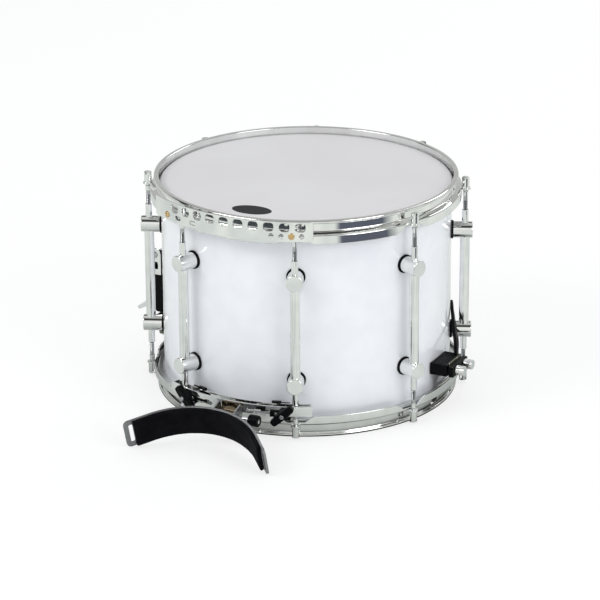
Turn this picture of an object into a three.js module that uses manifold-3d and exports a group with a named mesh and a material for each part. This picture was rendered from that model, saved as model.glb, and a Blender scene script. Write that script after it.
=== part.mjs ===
// A marching snare drum: a tall shell between two tensioned heads, with a strainer and butt
// that hold the snares under the lower head, a pierced sling strip and a tilting knee rest.
// Millimetres, +Z up. The origin is the centre of the batter head's playing surface.
// The knee rest faces -Y, the strainer is on -X and the butt on +X.

import * as THREE from 'three';
import { mergeVertices } from 'three/addons/utils/BufferGeometryUtils.js';
import Module from 'manifold-3d';

const wasm = await Module();
wasm.setup();

// Shared clearances and counts
const seatGap = 0.3;
const overrun = 3;
const weldTolerance = 1e-4;
const ringSides = 40;
const postSides = 10;
const rodSides = 8;
const turn = Math.PI * 2;
const quarterTurn = turn / 4;
const degree = turn / 360;

// Shell
const shellRadius = 177.8;
const shellDepth = 254;
const shellWall = 6.4;
const edgeInset = 1.9;

// Heads and their flesh hoops
const filmThickness = 0.6;
const collarDepth = 15;
const fleshHoopReach = 7.2;
const fleshHoopRadius = shellRadius + fleshHoopReach;
const fleshHoopDepth = 23.4;

// Counter hoops: drops are measured from the rim towards the middle of the drum
const rimRise = 8.4;
const hoopWallStand = 4.2;
const hoopWallRadius = shellRadius + hoopWallStand;
const hoopPlate = 2.3;
const beadReach = 3.8;
const beadRadius = hoopWallRadius + beadReach;
const beadHeight = 3.8;
const beadCorner = 1.2;
const flangeReach = 8.5;
const flangeRadius = hoopWallRadius + flangeReach;
const skirtPlate = 1.9;
const flangePlate = 2.1;
const batterWallDrop = 13.9;
const batterFlangeDrop = 16.4;
const batterSkirtDrop = 26;
const snareWallDrop = 15.7;
const snareFlangeDrop = 18.2;
const snareSkirtDrop = 28.7;
const earDrop = 19.3;
const earPlate = 2.3;
const earWidth = 20;
const rodStand = 3.9;
const rodCircle = flangeRadius + rodStand;
const earRootInset = 3.1;
const earRoot = flangeRadius - earRootInset;
const earNose = 6;
const earReach = rodCircle + earNose;
const earCorner = 6;
const skirtGapTop = 21.4;
const skirtGapBottom = 30;
const gateWidth = 48;
const gateDepth = 11.5;

// Tension rods
const stationCount = 8;
const firstStationAngle = 22.5;
const rodRadius = 2.8;
const rodInsertion = 15;
const washerRadius = 6.2;
const washerHeight = 3;
const headRadius = 4.65;
const headHeight = 12.4;
const rodClearance = 0.5;

// Tube lugs
const postInset = 61.9;
const postRadius = 10;
const postNose = 9.4;
const postFace = rodCircle + postNose;
const gasketThickness = 2.5;
const lugTubeRadius = 6;
const sleeveRadius = 4;
const sleeveReach = 26;
const sleeveBoreDepth = 22;
const studRadius = 2.5;
const studHeadRadius = 6;
const studHeadHeight = 3;
const studHeadGap = 0.7;

// Sling strip with its two brackets and rivets
const stripStand = 9.1;
const stripRadius = rodCircle + stripStand;
const stripPlate = 2;
const stripHeight = 25;
const stripTopRise = 5.7;
const stripStartAngle = -33.8;
const stripEndAngle = 28.8;
const stripSegments = 23;
const stripHoleWidth = 12.2;
const stripHoleHeight = 10.6;
const stripHoleCorner = 3.8;
const stripHoleAngle = 5.2335;
const stripRowAngle = 1.04;
const stripHoleCount = 10;
const stripHoleDrop = 7;
const smallHoleRadius = 3;
const smallHoleDrop = 17.5;
const smallHoleAngles = [15, 18.3, 25];
const longHoleWidth = 10;
const longHoleHeight = 5;
const longHoleCorner = 1.6;
const longHoleAngles = [-20.9, -13.9];
const bracketWidth = 15;
const bracketPlate = 1.2;
const bracketRise = 12;
const bracketBorder = 3;
const bracketSegments = 4;
const leftRivetAngle = -26.5;
const rightRivetAngle = 21.7;
const rivetRadius = 1.8;
const rivetHeadRadius = 3.4;
const rivetHeadHeight = 1.3;
const rivetTailRadius = 2.6;
const rivetTailHeight = 0.6;

// Snares with their moulded end straps
const strandCount = 12;
const strandRadius = 0.6;
const strandPitch = 3;
const strandSides = 6;
const strapWidth = 37;
const strapPlate = 1.2;
const strapStand = 23.2;
const strapRadius = shellRadius + strapStand;
const strapStartInset = 11.8;
const strapStart = shellRadius - strapStartInset;
const strapSteps = 36;
const strapDropGap = 2.65;
const strapDrop = flangeRadius - skirtPlate - strapDropGap;
const strapGateRise = 7.6;
const strapTurnRise = 13;
const strapEdgeReach = 0.3;
const strapEdgeRise = 2.6;
const strapGrip = 8;
const strainerShoulder = 6.8;
const strainerShoulderShares = [[0.43, 0.05], [0.8, 0.14], [0.96, 0.45]];
const buttShoulder = 16;
const buttShoulderShares = [[0.45, 0.36], [0.8, 0.68]];
const buttStrapTail = 2;
const flangeSlotClearance = 0.8;
const strapScrewClearance = 0.5;

// Strainer, in its own frame: x outwards, y along the shell, heights above the lower rim
const strainerPlace = -90;
const baseHeight = 80;
const baseFoot = 61;
const baseWidth = 34;
const basePlateDepth = 6;
const baseBodyTop = 109;
const baseWallDepth = 28;
const baseWallPlate = 3;
const yokeRadius = 6;
const pivotOut = 26.2;
const pivotRise = 138.5;
const pivotRadius = 2.5;
const pivotHeadRadius = 4;
const pivotHeadHeight = 1.2;
const leverCheek = 2;
const leverCheekGap = 0.4;
const leverHubRadius = 8.5;
const leverCheekStand = 3;
const leverArmPlate = 2.5;
const leverArmFoot = 72;
const leverTipOut = 54;
const leverTipRise = 62;
const leverTipPlate = 3;
const leverWindow = 9;
const slideFace = 1.4;
const slideWidth = 27;
const slideRoofGap = 1;
const slideStand = 3.2;
const neckRadius = 3;
const neckInset = 7;
const neckDepth = 10.5;
const wheelRadius = 8;
const wheelHeight = 3;
const wheelStand = 1.3;
const clampStand = 12.3;
const clampHeight = 15.5;
const clampWidth = 52;
const clampDepth = 14.7;
const clampPlate = 4;
const clampScrewBorder = 3;
const clampScrewSpread = clampWidth - clampScrewBorder * 2;
const clampScrewRadius = 1.6;
const clampScrewDepth = 8.5;
const clampScrewHeadRadius = 2.8;
const clampScrewHeadHeight = 1.6;

// Butt, in its own frame like the strainer's
const buttPlace = 90;
const buttFoot = 45;
const buttHeight = 15;
const buttWidth = 44;
const buttPlateDepth = 6.5;
const buttPlateStep = 1.5;
const thumbSpread = 24;
const thumbRadius = 6;
const thumbHeight = 11;
const thumbShankRadius = 2.4;
const thumbShankDepth = 14;
const thumbClearance = 0.4;
const stayWidth = 6;
const stayPlate = 4;
const stayInset = 5;
const stayRise = 36;
const stayShellAngle = 31;
const stayFootAngle = 4.7;
const staySteps = 14;
const stayShares = [[0, 0, 1], [0.02, 0.25, 0.85], [0.25, 0.55, 0.58], [0.8, 0.87, 0.2], [1, 1, -0.1]];

// Knee rest rail: a flat loop round the two front tension rods
const railBackReach = 5.2;
const railFrontReach = 6.6;
const railInner = rodCircle - railBackReach;
const railOuter = rodCircle + railFrontReach;
const railPlate = 2;
const railStand = 3.8;
const railFoot = snareSkirtDrop + railStand;
const railHeight = 12;
const railHalfAngle = 28.2;
const railSegments = 15;
const railSlotHeight = 5.8;
const railSlotStartAngle = 7.6;
const railSlotEndAngle = 20;

// Claws and wing nuts that clamp the rail to the skirt
const clawPlace = 18.3;
const clawStand = 2;
const clawPlate = 1.8;
const clawFront = railInner - clawStand;
const clawBack = clawFront - clawPlate;
const clawGrip = 7.1;
const clawWidth = 22;
const clawShift = 4;
const clawLip = 1.6;
const clawLipWidth = 11;
const boltInset = 3.5;
const boltRise = railFoot + boltInset;
const boltRadius = 2.5;
const boltReach = 12.5;
const boltTip = railOuter + boltReach;
const wingLength = 33;
const wingWidth = 10;
const wingDepth = 8;
const wingHubRadius = 6;
const wingHubHeight = 4.6;
const wingTiltAngle = 42;
const wingGap = 0.6;
const wingStart = railOuter + wingGap;

// Knee rest: a padded half-round plate on a tilting hinge
const tiltStand = 11;
const tiltDrop = 2.5;
const tiltAxisOut = railOuter + tiltStand;
const tiltAxisRise = railFoot - tiltDrop;
const restTiltAngle = 16.8;
const tiltPinRadius = 2.5;
const tiltPinHeadRadius = 5;
const tiltPinHeadHeight = 2.5;
const tongueWidth = 24;
const tonguePlate = 2;
const tongueBarrelRadius = 5.2;
const tongueLink = 4;
const cheekSpan = 30;
const cheekPlate = 2;
const cheekRearReach = 10.6;
const cheekTopReach = 12.5;
const cheekRound = 9;
const cheekWeb = 2.2;
const knobRadius = 7;
const knobLength = 13;
const knobStand = 14;
const kneeStand = 25.1;
const kneeApexOut = tiltAxisOut + kneeStand;
const kneePlateRadius = 99.3;
const kneePlateThickness = 3;
const kneePadThickness = 5.2;
const kneeHeight = 37;
const kneeTopReach = 31.3;
const kneeTop = tiltAxisRise + kneeTopReach;
const kneeBendAngle = 47;
const kneeLegLength = 32.5;
const kneePadInset = 0.7;
const kneeSegments = 17;
const kneeCorner = 6;
const strapSlotWidth = 5.2;
const strapSlotHeight = 26;
const strapSlotBorder = 5.8;
const kneePadLegLength = kneeLegLength - strapSlotBorder - strapSlotWidth;

// Heights and places worked out from the sizes above
const shellTop = -(filmThickness + seatGap);
const shellBottom = shellTop - shellDepth;
const snareHeadTop = shellBottom - seatGap;
const snareHeadPlane = snareHeadTop - filmThickness;
const batterRim = rimRise;
const snareRim = snareHeadPlane - (rimRise - seatGap);
const washerSeat = earDrop - seatGap;
const clampFoot = snareSkirtDrop + clampStand;
const wheelFoot = clampFoot + clampHeight + wheelStand;
const shellOut = shellRadius + seatGap;
const neckX = strapRadius - neckInset;

// Colours and finishes
const finishes = {
  lacquer: { color: 0xf1f2f5, roughness: 0.12, metalness: 0 },
  film: { color: 0xe6e6e4, roughness: 0.55, metalness: 0 },
  chrome: { color: 0xd9dcdc, roughness: 0.12, metalness: 1 },
  steel: { color: 0xb9bcbf, roughness: 0.32, metalness: 1 },
  aluminium: { color: 0xc9cbcc, roughness: 0.38, metalness: 1 },
  brass: { color: 0xb88b4a, roughness: 0.3, metalness: 1 },
  black: { color: 0x131315, roughness: 0.45, metalness: 0 },
  foam: { color: 0x101014, roughness: 0.9, metalness: 0 },
  nylon: { color: 0x1a1a1c, roughness: 0.6, metalness: 0 },
};

// Solids and cuts

function toSolid(geometry) {
  const bare = geometry.clone();
  bare.deleteAttribute('normal');
  bare.deleteAttribute('uv');
  const welded = mergeVertices(bare, weldTolerance);
  const corners = welded.index.array;
  const kept = [];
  for (let i = 0; i < corners.length; i += 3) {
    const [a, b, c] = [corners[i], corners[i + 1], corners[i + 2]];
    if (a !== b && b !== c && c !== a) kept.push(a, b, c);
  }
  return new wasm.Manifold(new wasm.Mesh({
    numProp: 3,
    vertProperties: new Float32Array(welded.attributes.position.array),
    triVerts: new Uint32Array(kept),
  }));
}

function toGeometry(solid) {
  const mesh = solid.getMesh();
  const geometry = new THREE.BufferGeometry();
  geometry.setAttribute('position', new THREE.BufferAttribute(mesh.vertProperties, mesh.numProp));
  geometry.setIndex(new THREE.BufferAttribute(mesh.triVerts, 1));
  geometry.computeVertexNormals();
  return geometry;
}

function join(...geometries) {
  return geometries.map(toSolid).reduce((sum, solid) => sum.add(solid));
}

function cut(solid, ...geometries) {
  return geometries.map(toSolid).reduce((left, tool) => left.subtract(tool), solid);
}

function piece(name, finish, solid) {
  const mesh = new THREE.Mesh(toGeometry(solid), new THREE.MeshStandardMaterial(finishes[finish]));
  mesh.name = name;
  return mesh;
}

// Basic shapes: a lathe about Z, bars along one axis, boxes between two corners

function lathe(outline, sides = ringSides) {
  const points = [...outline, outline[0]].map(([r, z]) => new THREE.Vector2(r, z));
  return new THREE.LatheGeometry(points, sides).rotateX(quarterTurn);
}

function barX(radius, from, to, y = 0, z = 0, sides = postSides) {
  const bar = new THREE.CylinderGeometry(radius, radius, to - from, sides).rotateZ(-quarterTurn);
  return bar.translate((from + to) / 2, y, z);
}

function barY(radius, from, to, x = 0, z = 0, sides = postSides) {
  const bar = new THREE.CylinderGeometry(radius, radius, to - from, sides);
  return bar.translate(x, (from + to) / 2, z);
}

function barZ(radius, from, to, x = 0, y = 0, sides = postSides) {
  const bar = new THREE.CylinderGeometry(radius, radius, to - from, sides).rotateX(quarterTurn);
  return bar.translate(x, y, (from + to) / 2);
}

function block([x0, x1], [y0, y1], [z0, z1]) {
  const box = new THREE.BoxGeometry(x1 - x0, y1 - y0, z1 - z0);
  return box.translate((x0 + x1) / 2, (y0 + y1) / 2, (z0 + z1) / 2);
}

// A flat outline in the x-z plane, given width along y
function slab(outline, y0, y1) {
  const shape = new THREE.Shape(outline.map(([x, z]) => new THREE.Vector2(x, z)));
  const solid = new THREE.ExtrudeGeometry(shape, { depth: y1 - y0, bevelEnabled: false });
  return solid.rotateX(quarterTurn).translate(0, y1, 0);
}

// A ring sector standing on the x-y plane, from one azimuth to another
function arcBand(inner, outer, startAngle, endAngle, z0, z1, segments) {
  const points = [];
  for (let i = 0; i <= segments; i += 1) {
    const angle = (startAngle + ((endAngle - startAngle) * i) / segments - 90) * degree;
    const ray = new THREE.Vector2(Math.cos(angle), Math.sin(angle));
    points.push(ray.clone().multiplyScalar(outer));
    points.unshift(ray.clone().multiplyScalar(inner));
  }
  const options = { depth: z1 - z0, bevelEnabled: false };
  return new THREE.ExtrudeGeometry(new THREE.Shape(points), options).translate(0, 0, z0);
}

// A height above the lower rim
function rise(height) {
  return snareRim + height;
}

// Turns a geometry made with x outwards to its place round the drum
function atPlace(geometry, azimuth) {
  return geometry.rotateZ((azimuth - 90) * degree);
}

function station(azimuth) {
  const group = new THREE.Group();
  group.rotation.z = (azimuth - 90) * degree;
  return group;
}

function stationAngles() {
  return Array.from({ length: stationCount }, (_, i) => firstStationAngle + (i * 360) / stationCount);
}

// Maps outline heights measured inwards from a plane; the lower half of the drum mirrors the upper
function facing(outline, plane, upper) {
  const mapped = outline.map(([r, h]) => [r, upper ? plane - h : plane + h]);
  return upper ? mapped : mapped.reverse();
}

// Shell with its bearing edges and the lug screw holes

function postHeights() {
  return [shellTop - postInset, shellBottom + postInset];
}

function shell() {
  const inner = shellRadius - shellWall;
  const crest = shellRadius - edgeInset;
  const chamfer = shellWall - edgeInset;
  const body = lathe([
    [shellRadius, shellBottom + edgeInset],
    [shellRadius, shellTop - edgeInset],
    [crest, shellTop],
    [inner, shellTop - chamfer],
    [inner, shellBottom + chamfer],
    [crest, shellBottom],
  ]);
  const holes = stationAngles().flatMap((azimuth) => postHeights().map((z) => atPlace(
    barX(studRadius + seatGap, inner - overrun, shellRadius + overrun, 0, z, rodSides), azimuth)));
  return piece('shell', 'lacquer', cut(toSolid(body), ...holes));
}

// Heads: a film with its collar, and the flesh hoop round the collar

function headFilm(name, plane, upper) {
  const collar = shellRadius + seatGap;
  const outer = collar + filmThickness;
  const shoulder = edgeInset + filmThickness;
  const outline = [
    [0, filmThickness],
    [collar - edgeInset, filmThickness],
    [collar, shoulder],
    [collar, collarDepth],
    [outer, collarDepth],
    [outer, edgeInset],
    [outer - edgeInset, 0],
    [0, 0],
  ];
  return piece(name, 'film', toSolid(lathe(facing(outline, plane, upper))));
}

function flangeUnderside(wallDrop, flangeDrop, radius) {
  const slope = (flangeDrop - wallDrop) / (flangeRadius - hoopWallRadius);
  return wallDrop + flangePlate + slope * (radius - (hoopWallRadius - hoopPlate));
}

function fleshHoop(name, rim, upper, wallDrop, flangeDrop) {
  const inner = shellRadius + seatGap + filmThickness + seatGap;
  const seat = (radius) => flangeUnderside(wallDrop, flangeDrop, radius) + seatGap;
  const outline = [
    [inner, fleshHoopDepth],
    [fleshHoopRadius, fleshHoopDepth],
    [fleshHoopRadius, seat(fleshHoopRadius)],
    [inner, seat(inner)],
  ];
  return piece(name, 'aluminium', toSolid(lathe(facing(outline, rim, upper))));
}

// Counter hoops: bead, wall, sloped flange and skirt, with an ear at each rod

function hoopOutline(wallDrop, flangeDrop, skirtDrop) {
  const wallInner = hoopWallRadius - hoopPlate;
  const skirtInner = flangeRadius - skirtPlate;
  return [
    [wallInner, 0],
    [beadRadius - beadCorner, 0],
    [beadRadius, beadCorner],
    [beadRadius, beadHeight],
    [hoopWallRadius, beadHeight],
    [hoopWallRadius, wallDrop],
    [flangeRadius, flangeDrop],
    [flangeRadius, skirtDrop],
    [skirtInner, skirtDrop],
    [skirtInner, flangeUnderside(wallDrop, flangeDrop, skirtInner)],
    [wallInner, flangeUnderside(wallDrop, flangeDrop, wallInner)],
  ];
}

function mirrorHeight(geometry, plane, upper) {
  if (upper) return geometry.rotateX(turn / 2).translate(0, 0, plane);
  return geometry.translate(0, 0, plane);
}

function skirtGap(flangeDrop, skirtDrop) {
  const shape = new THREE.Shape([
    new THREE.Vector2(-skirtGapTop / 2, flangeDrop + flangePlate),
    new THREE.Vector2(skirtGapTop / 2, flangeDrop + flangePlate),
    new THREE.Vector2(skirtGapBottom / 2, skirtDrop + overrun),
    new THREE.Vector2(-skirtGapBottom / 2, skirtDrop + overrun),
  ]);
  const depth = flangeRadius + overrun - earRoot;
  const solid = new THREE.ExtrudeGeometry(shape, { depth, bevelEnabled: false });
  return solid.rotateX(quarterTurn).rotateZ(quarterTurn).translate(earRoot, 0, 0);
}

function ear() {
  const half = earWidth / 2;
  const nose = new THREE.Shape([
    [earRoot, -half], [earReach - earCorner, -half], [earReach, earCorner - half],
    [earReach, half - earCorner], [earReach - earCorner, half], [earRoot, half],
  ].map(([x, y]) => new THREE.Vector2(x, y)));
  const plate = new THREE.ExtrudeGeometry(nose, { depth: earPlate, bevelEnabled: false });
  plate.translate(0, 0, earDrop);
  const riser = block([earRoot, flangeRadius], [-half, half], [earDrop - earPlate, earDrop + earPlate / 2]);
  return join(plate, riser);
}

function hoop(name, rim, upper, wallDrop, flangeDrop, skirtDrop) {
  let solid = toSolid(lathe(hoopOutline(wallDrop, flangeDrop, skirtDrop)));
  for (const azimuth of stationAngles()) {
    const place = upper ? 180 - azimuth : azimuth;
    solid = cut(solid, atPlace(skirtGap(flangeDrop, skirtDrop), place));
    solid = solid.add(toSolid(atPlace(toGeometry(ear()), place)));
    const spot = barZ(washerRadius + rodClearance, 0, earDrop, rodCircle, 0, postSides);
    const hole = barZ(rodRadius + rodClearance, 0, earDrop + earPlate + overrun, rodCircle, 0, rodSides);
    solid = cut(solid, atPlace(spot, place), atPlace(hole, place));
  }
  if (!upper) {
    for (const azimuth of [strainerPlace, buttPlace]) {
      solid = cut(solid, ...gateCutters(flangeDrop).map((cutter) => atPlace(cutter, azimuth)));
    }
  }
  return piece(name, 'chrome', toSolid(mirrorHeight(toGeometry(solid), rim, upper)));
}

// The gate in the wall and the slot in the flange, through which a snare strap leaves
function gateCutters(flangeDrop) {
  const sides = [-gateWidth / 2, gateWidth / 2];
  const slotInner = strapDrop - strapPlate / 2 - flangeSlotClearance;
  return [
    block([hoopWallRadius - hoopPlate - overrun, beadRadius + overrun], sides, [-overrun, gateDepth]),
    block([slotInner, flangeRadius - skirtPlate], sides, [gateDepth, flangeDrop + flangePlate + overrun]),
  ];
}

// Lugs: two posts joined by a tube, a threaded sleeve at each end and a screw through the shell

function lug(name) {
  const [upperPost, lowerPost] = postHeights();
  const foot = shellRadius + gasketThickness;
  const inside = shellRadius - shellWall - studHeadGap;
  let solid = join(
    barZ(lugTubeRadius, lowerPost, upperPost, rodCircle, 0, rodSides),
    barZ(sleeveRadius, lowerPost - sleeveReach, upperPost + sleeveReach, rodCircle, 0, rodSides),
  );
  for (const z of postHeights()) {
    solid = solid.add(join(
      barX(postRadius, foot, postFace, 0, z),
      barX(studRadius, inside - studHeadHeight, postFace - postRadius, 0, z, rodSides),
      barX(studHeadRadius, inside - studHeadHeight, inside, 0, z, rodSides),
    ));
  }
  const bore = rodRadius + seatGap;
  const upperEnd = upperPost + sleeveReach;
  const lowerEnd = lowerPost - sleeveReach;
  solid = cut(solid,
    barZ(bore, upperEnd - sleeveBoreDepth, upperEnd + overrun, rodCircle, 0, rodSides),
    barZ(bore, lowerEnd - overrun, lowerEnd + sleeveBoreDepth, rodCircle, 0, rodSides));
  return piece(name, 'chrome', solid);
}

// Tension rods: threaded shank, washer and slotted head

function rodSeat(rim, upper, lift) {
  const drop = washerSeat - lift;
  return upper ? rim - drop : rim + drop;
}

function tensionRod(name, rim, upper, lift) {
  const [upperPost, lowerPost] = postHeights();
  const sleeveEnd = upper ? upperPost + sleeveReach : lowerPost - sleeveReach;
  const seat = rodSeat(rim, upper, lift);
  const shank = Math.abs(seat - sleeveEnd) + rodInsertion;
  const outline = [
    [0, shank],
    [rodRadius, shank],
    [rodRadius, 0],
    [washerRadius, 0],
    [washerRadius, -washerHeight],
    [headRadius, -washerHeight],
    [headRadius, -washerHeight - headHeight],
    [0, -washerHeight - headHeight],
  ];
  const rod = lathe(facing(outline, seat, upper), rodSides).translate(rodCircle, 0, 0);
  return piece(name, 'steel', toSolid(rod));
}

// Sling strip: a pierced band outside the two front rods, riveted to brackets under their washers

function roundedHole(width, height, corner, reach, depth) {
  const [x, y] = [width / 2, height / 2];
  const shape = new THREE.Shape([
    [x - corner, -y], [x, corner - y], [x, y - corner], [x - corner, y],
    [corner - x, y], [-x, y - corner], [-x, corner - y], [corner - x, -y],
  ].map(([u, v]) => new THREE.Vector2(u, v)));
  const solid = new THREE.ExtrudeGeometry(shape, { depth, bevelEnabled: false });
  return solid.rotateX(quarterTurn).rotateZ(quarterTurn).translate(reach, 0, 0);
}

function stripTop() {
  return batterRim + stripTopRise;
}

function slingStrip() {
  const top = stripTop();
  const outer = stripRadius + stripPlate;
  const band = arcBand(stripRadius, outer, stripStartAngle, stripEndAngle, top - stripHeight, top, stripSegments);
  const reach = stripRadius - overrun;
  const depth = stripPlate + overrun * 2;
  const holes = [];
  for (let i = 0; i < stripHoleCount; i += 1) {
    const azimuth = stripRowAngle + (i - (stripHoleCount - 1) / 2) * stripHoleAngle;
    const hole = roundedHole(stripHoleWidth, stripHoleHeight, stripHoleCorner, reach, depth);
    holes.push(atPlace(hole.translate(0, 0, top - stripHoleDrop), azimuth));
  }
  for (const azimuth of longHoleAngles) {
    const hole = roundedHole(longHoleWidth, longHoleHeight, longHoleCorner, reach, depth);
    holes.push(atPlace(hole.translate(0, 0, top - smallHoleDrop), azimuth));
  }
  for (const azimuth of smallHoleAngles) {
    const hole = barX(smallHoleRadius, reach, reach + depth, 0, top - smallHoleDrop, rodSides);
    holes.push(atPlace(hole, azimuth));
  }
  for (const azimuth of [leftRivetAngle, rightRivetAngle]) {
    const hole = barX(rivetRadius + seatGap, reach, reach + depth, 0, top - smallHoleDrop, rodSides);
    holes.push(atPlace(hole, azimuth));
  }
  return piece('sling_strip', 'chrome', cut(toSolid(band), ...holes));
}

// A bracket lies under a rod's washer; its curved leg backs the strip as far as the rivet
function slingBracket(name, azimuth, rivetPlace) {
  const seat = batterRim - earDrop + seatGap;
  const legFace = stripRadius - seatGap * 2;
  const rivetAngle = rivetPlace - azimuth;
  const half = bracketWidth / 2 / legFace / degree;
  const border = (rivetTailRadius + bracketBorder) / legFace / degree;
  const leg = arcBand(legFace - bracketPlate, legFace, Math.min(-half, rivetAngle - border),
    Math.max(half, rivetAngle + border), seat, seat + bracketRise, bracketSegments);
  let solid = join(
    barZ(washerRadius, seat, seat + bracketPlate, rodCircle),
    block([rodCircle, legFace - bracketPlate / 2], [-washerRadius, washerRadius], [seat, seat + bracketPlate]),
    leg.rotateZ(quarterTurn),
  );
  const rivetHole = barX(rivetRadius + seatGap, rodCircle, stripRadius, 0, stripTop() - smallHoleDrop, rodSides);
  solid = cut(solid,
    barZ(rodRadius + rodClearance, seat - overrun, seat + overrun, rodCircle, 0, rodSides),
    rivetHole.rotateZ(rivetAngle * degree));
  return piece(name, 'steel', solid);
}

function slingRivet(name) {
  const z = stripTop() - smallHoleDrop;
  const face = stripRadius + stripPlate + seatGap;
  const back = stripRadius - seatGap * 3 - bracketPlate;
  return piece(name, 'brass', join(
    barX(rivetRadius, back - rivetTailHeight, face + rivetHeadHeight, 0, z, rodSides),
    barX(rivetHeadRadius, face, face + rivetHeadHeight, 0, z),
    barX(rivetTailRadius, back - rivetTailHeight, back, 0, z, rodSides),
  ));
}

// Snares: parallel strands set into an end strap on each side; the straps leave through the gates

function bandOutline(points, thickness, steps) {
  const curve = new THREE.SplineCurve(points.map(([x, z]) => new THREE.Vector2(x, z)));
  const left = [];
  const right = [];
  for (let i = 0; i <= steps; i += 1) {
    const centre = curve.getPoint(i / steps);
    const along = curve.getTangent(i / steps);
    const side = new THREE.Vector2(-along.y, along.x).multiplyScalar(thickness / 2);
    left.push([centre.x + side.x, centre.y + side.y]);
    right.unshift([centre.x - side.x, centre.y - side.y]);
  }
  return [...left, ...right];
}

// From under the head, out through the gate, up between flesh hoop and skirt and over its edge
function strapRoute(shoulder, shoulderShares, top) {
  const underHead = snareHeadPlane - seatGap - strapPlate / 2;
  const edge = rise(snareSkirtDrop);
  const start = edge + strapEdgeRise;
  const end = edge + shoulder;
  return [
    [strapStart, underHead],
    [shellRadius - shellWall, underHead],
    [hoopWallRadius, rise(strapGateRise)],
    [strapDrop - strapEdgeReach, rise(strapTurnRise)],
    [strapDrop, (rise(strapTurnRise) + edge) / 2],
    [strapDrop + strapEdgeReach, edge],
    [flangeRadius, start],
    ...shoulderShares.map(([out, up]) => [
      flangeRadius + (strapRadius - flangeRadius) * out, start + (end - start) * up]),
    [strapRadius, end],
    [strapRadius, (end + rise(top)) / 2],
    [strapRadius, rise(top)],
  ];
}

function endStrap(shoulder, shoulderShares, top) {
  const outline = bandOutline(strapRoute(shoulder, shoulderShares, top), strapPlate, strapSteps);
  return slab(outline, -strapWidth / 2, strapWidth / 2);
}

function snareSet() {
  const z = snareHeadPlane - seatGap - strapPlate / 2;
  const reach = strapStart + strandPitch;
  const strainerTop = clampFoot + strapGrip;
  const buttTop = buttFoot + buttHeight + buttStrapTail;
  let solid = toSolid(atPlace(endStrap(strainerShoulder, strainerShoulderShares, strainerTop), strainerPlace));
  solid = solid.add(toSolid(atPlace(endStrap(buttShoulder, buttShoulderShares, buttTop), buttPlace)));
  for (let i = 0; i < strandCount; i += 1) {
    const y = (i - (strandCount - 1) / 2) * strandPitch;
    solid = solid.add(toSolid(barX(strandRadius, -reach, reach, y, z, strandSides)));
  }
  const holeZ = snareRim + buttFoot + buttHeight / 2;
  for (const y of [-thumbSpread / 2, thumbSpread / 2]) {
    const hole = barX(thumbShankRadius + strapScrewClearance, strapRadius - overrun,
      strapRadius + overrun, y, holeZ, rodSides);
    solid = cut(solid, atPlace(hole, buttPlace));
  }
  return piece('snare_set', 'nylon', solid);
}

// Strainer: base on the shell, lever on a pin, slide with its adjusting wheel and the clamp

function strainerBase() {
  const half = baseWidth / 2;
  const inner = half - baseWallPlate;
  const back = shellOut + basePlateDepth;
  const pivotX = shellRadius + pivotOut;
  const wallReach = shellRadius + baseWallDepth;
  let solid = toSolid(block([shellOut, back], [-half, half], [rise(baseFoot), rise(baseFoot + baseHeight)]));
  for (const side of [-1, 1]) {
    const [y0, y1] = side < 0 ? [-half, -inner] : [inner, half];
    const walls = join(
      block([back - overrun, wallReach], [y0, y1], [rise(baseFoot), rise(baseBodyTop)]),
      block([back - overrun, pivotX], [y0, y1], [rise(pivotRise) - yokeRadius, rise(pivotRise) + yokeRadius]),
      block([back - overrun, pivotX - yokeRadius], [y0, y1], [rise(baseBodyTop) - overrun, rise(pivotRise)]),
      barY(yokeRadius, y0, y1, pivotX, rise(pivotRise)),
    );
    solid = solid.add(walls);
  }
  const roof = block([back - overrun, wallReach], [-half, half],
    [rise(baseBodyTop) - baseWallPlate, rise(baseBodyTop)]);
  solid = solid.add(toSolid(roof));
  const pinHole = barY(pivotRadius + seatGap, -half - overrun, half + overrun, pivotX, rise(pivotRise));
  return piece('strainer_base', 'black', cut(solid, pinHole));
}

function leverCheeks() {
  const pivotX = shellRadius + pivotOut;
  const inner = baseWidth / 2 + leverCheekGap;
  const outer = inner + leverCheek;
  const foot = rise(baseBodyTop + leverCheekStand);
  const pivotZ = rise(pivotRise);
  const [rear, front] = [pivotX - leverHubRadius, pivotX + leverHubRadius];
  const solids = [];
  for (const side of [-1, 1]) {
    const [y0, y1] = side < 0 ? [-outer, -inner] : [inner, outer];
    const cheek = join(
      barY(leverHubRadius, y0, y1, pivotX, pivotZ, postSides),
      block([rear, front], [y0, y1], [foot, pivotZ]),
    );
    const windowTop = pivotZ - leverHubRadius;
    solids.push(cut(cheek, block([rear + leverCheek * 2, front - leverCheek * 2],
      [y0 - overrun, y1 + overrun], [windowTop - leverWindow, windowTop])));
  }
  return solids[0].add(solids[1]);
}

function strainerLever() {
  const pivotX = shellRadius + pivotOut;
  const half = baseWidth / 2 + leverCheekGap + leverCheek;
  const front = pivotX + leverHubRadius;
  const armBack = front - leverArmPlate;
  const tipX = shellRadius + leverTipOut;
  const arm = slab([
    [armBack, rise(leverArmFoot)],
    [tipX - leverTipPlate, rise(leverTipRise)],
    [tipX, rise(leverTipRise) + leverTipPlate],
    [front + leverArmPlate, rise(leverArmFoot) + leverTipPlate],
    [front, rise(leverArmFoot) + leverTipPlate * 3],
    [front, rise(pivotRise) - leverArmPlate],
    [armBack, rise(pivotRise) - leverArmPlate],
  ], -half, half);
  const hole = barY(pivotRadius + seatGap, -half - overrun, half + overrun, pivotX, rise(pivotRise));
  return piece('strainer_lever', 'chrome', cut(leverCheeks().add(toSolid(arm)), hole));
}

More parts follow.
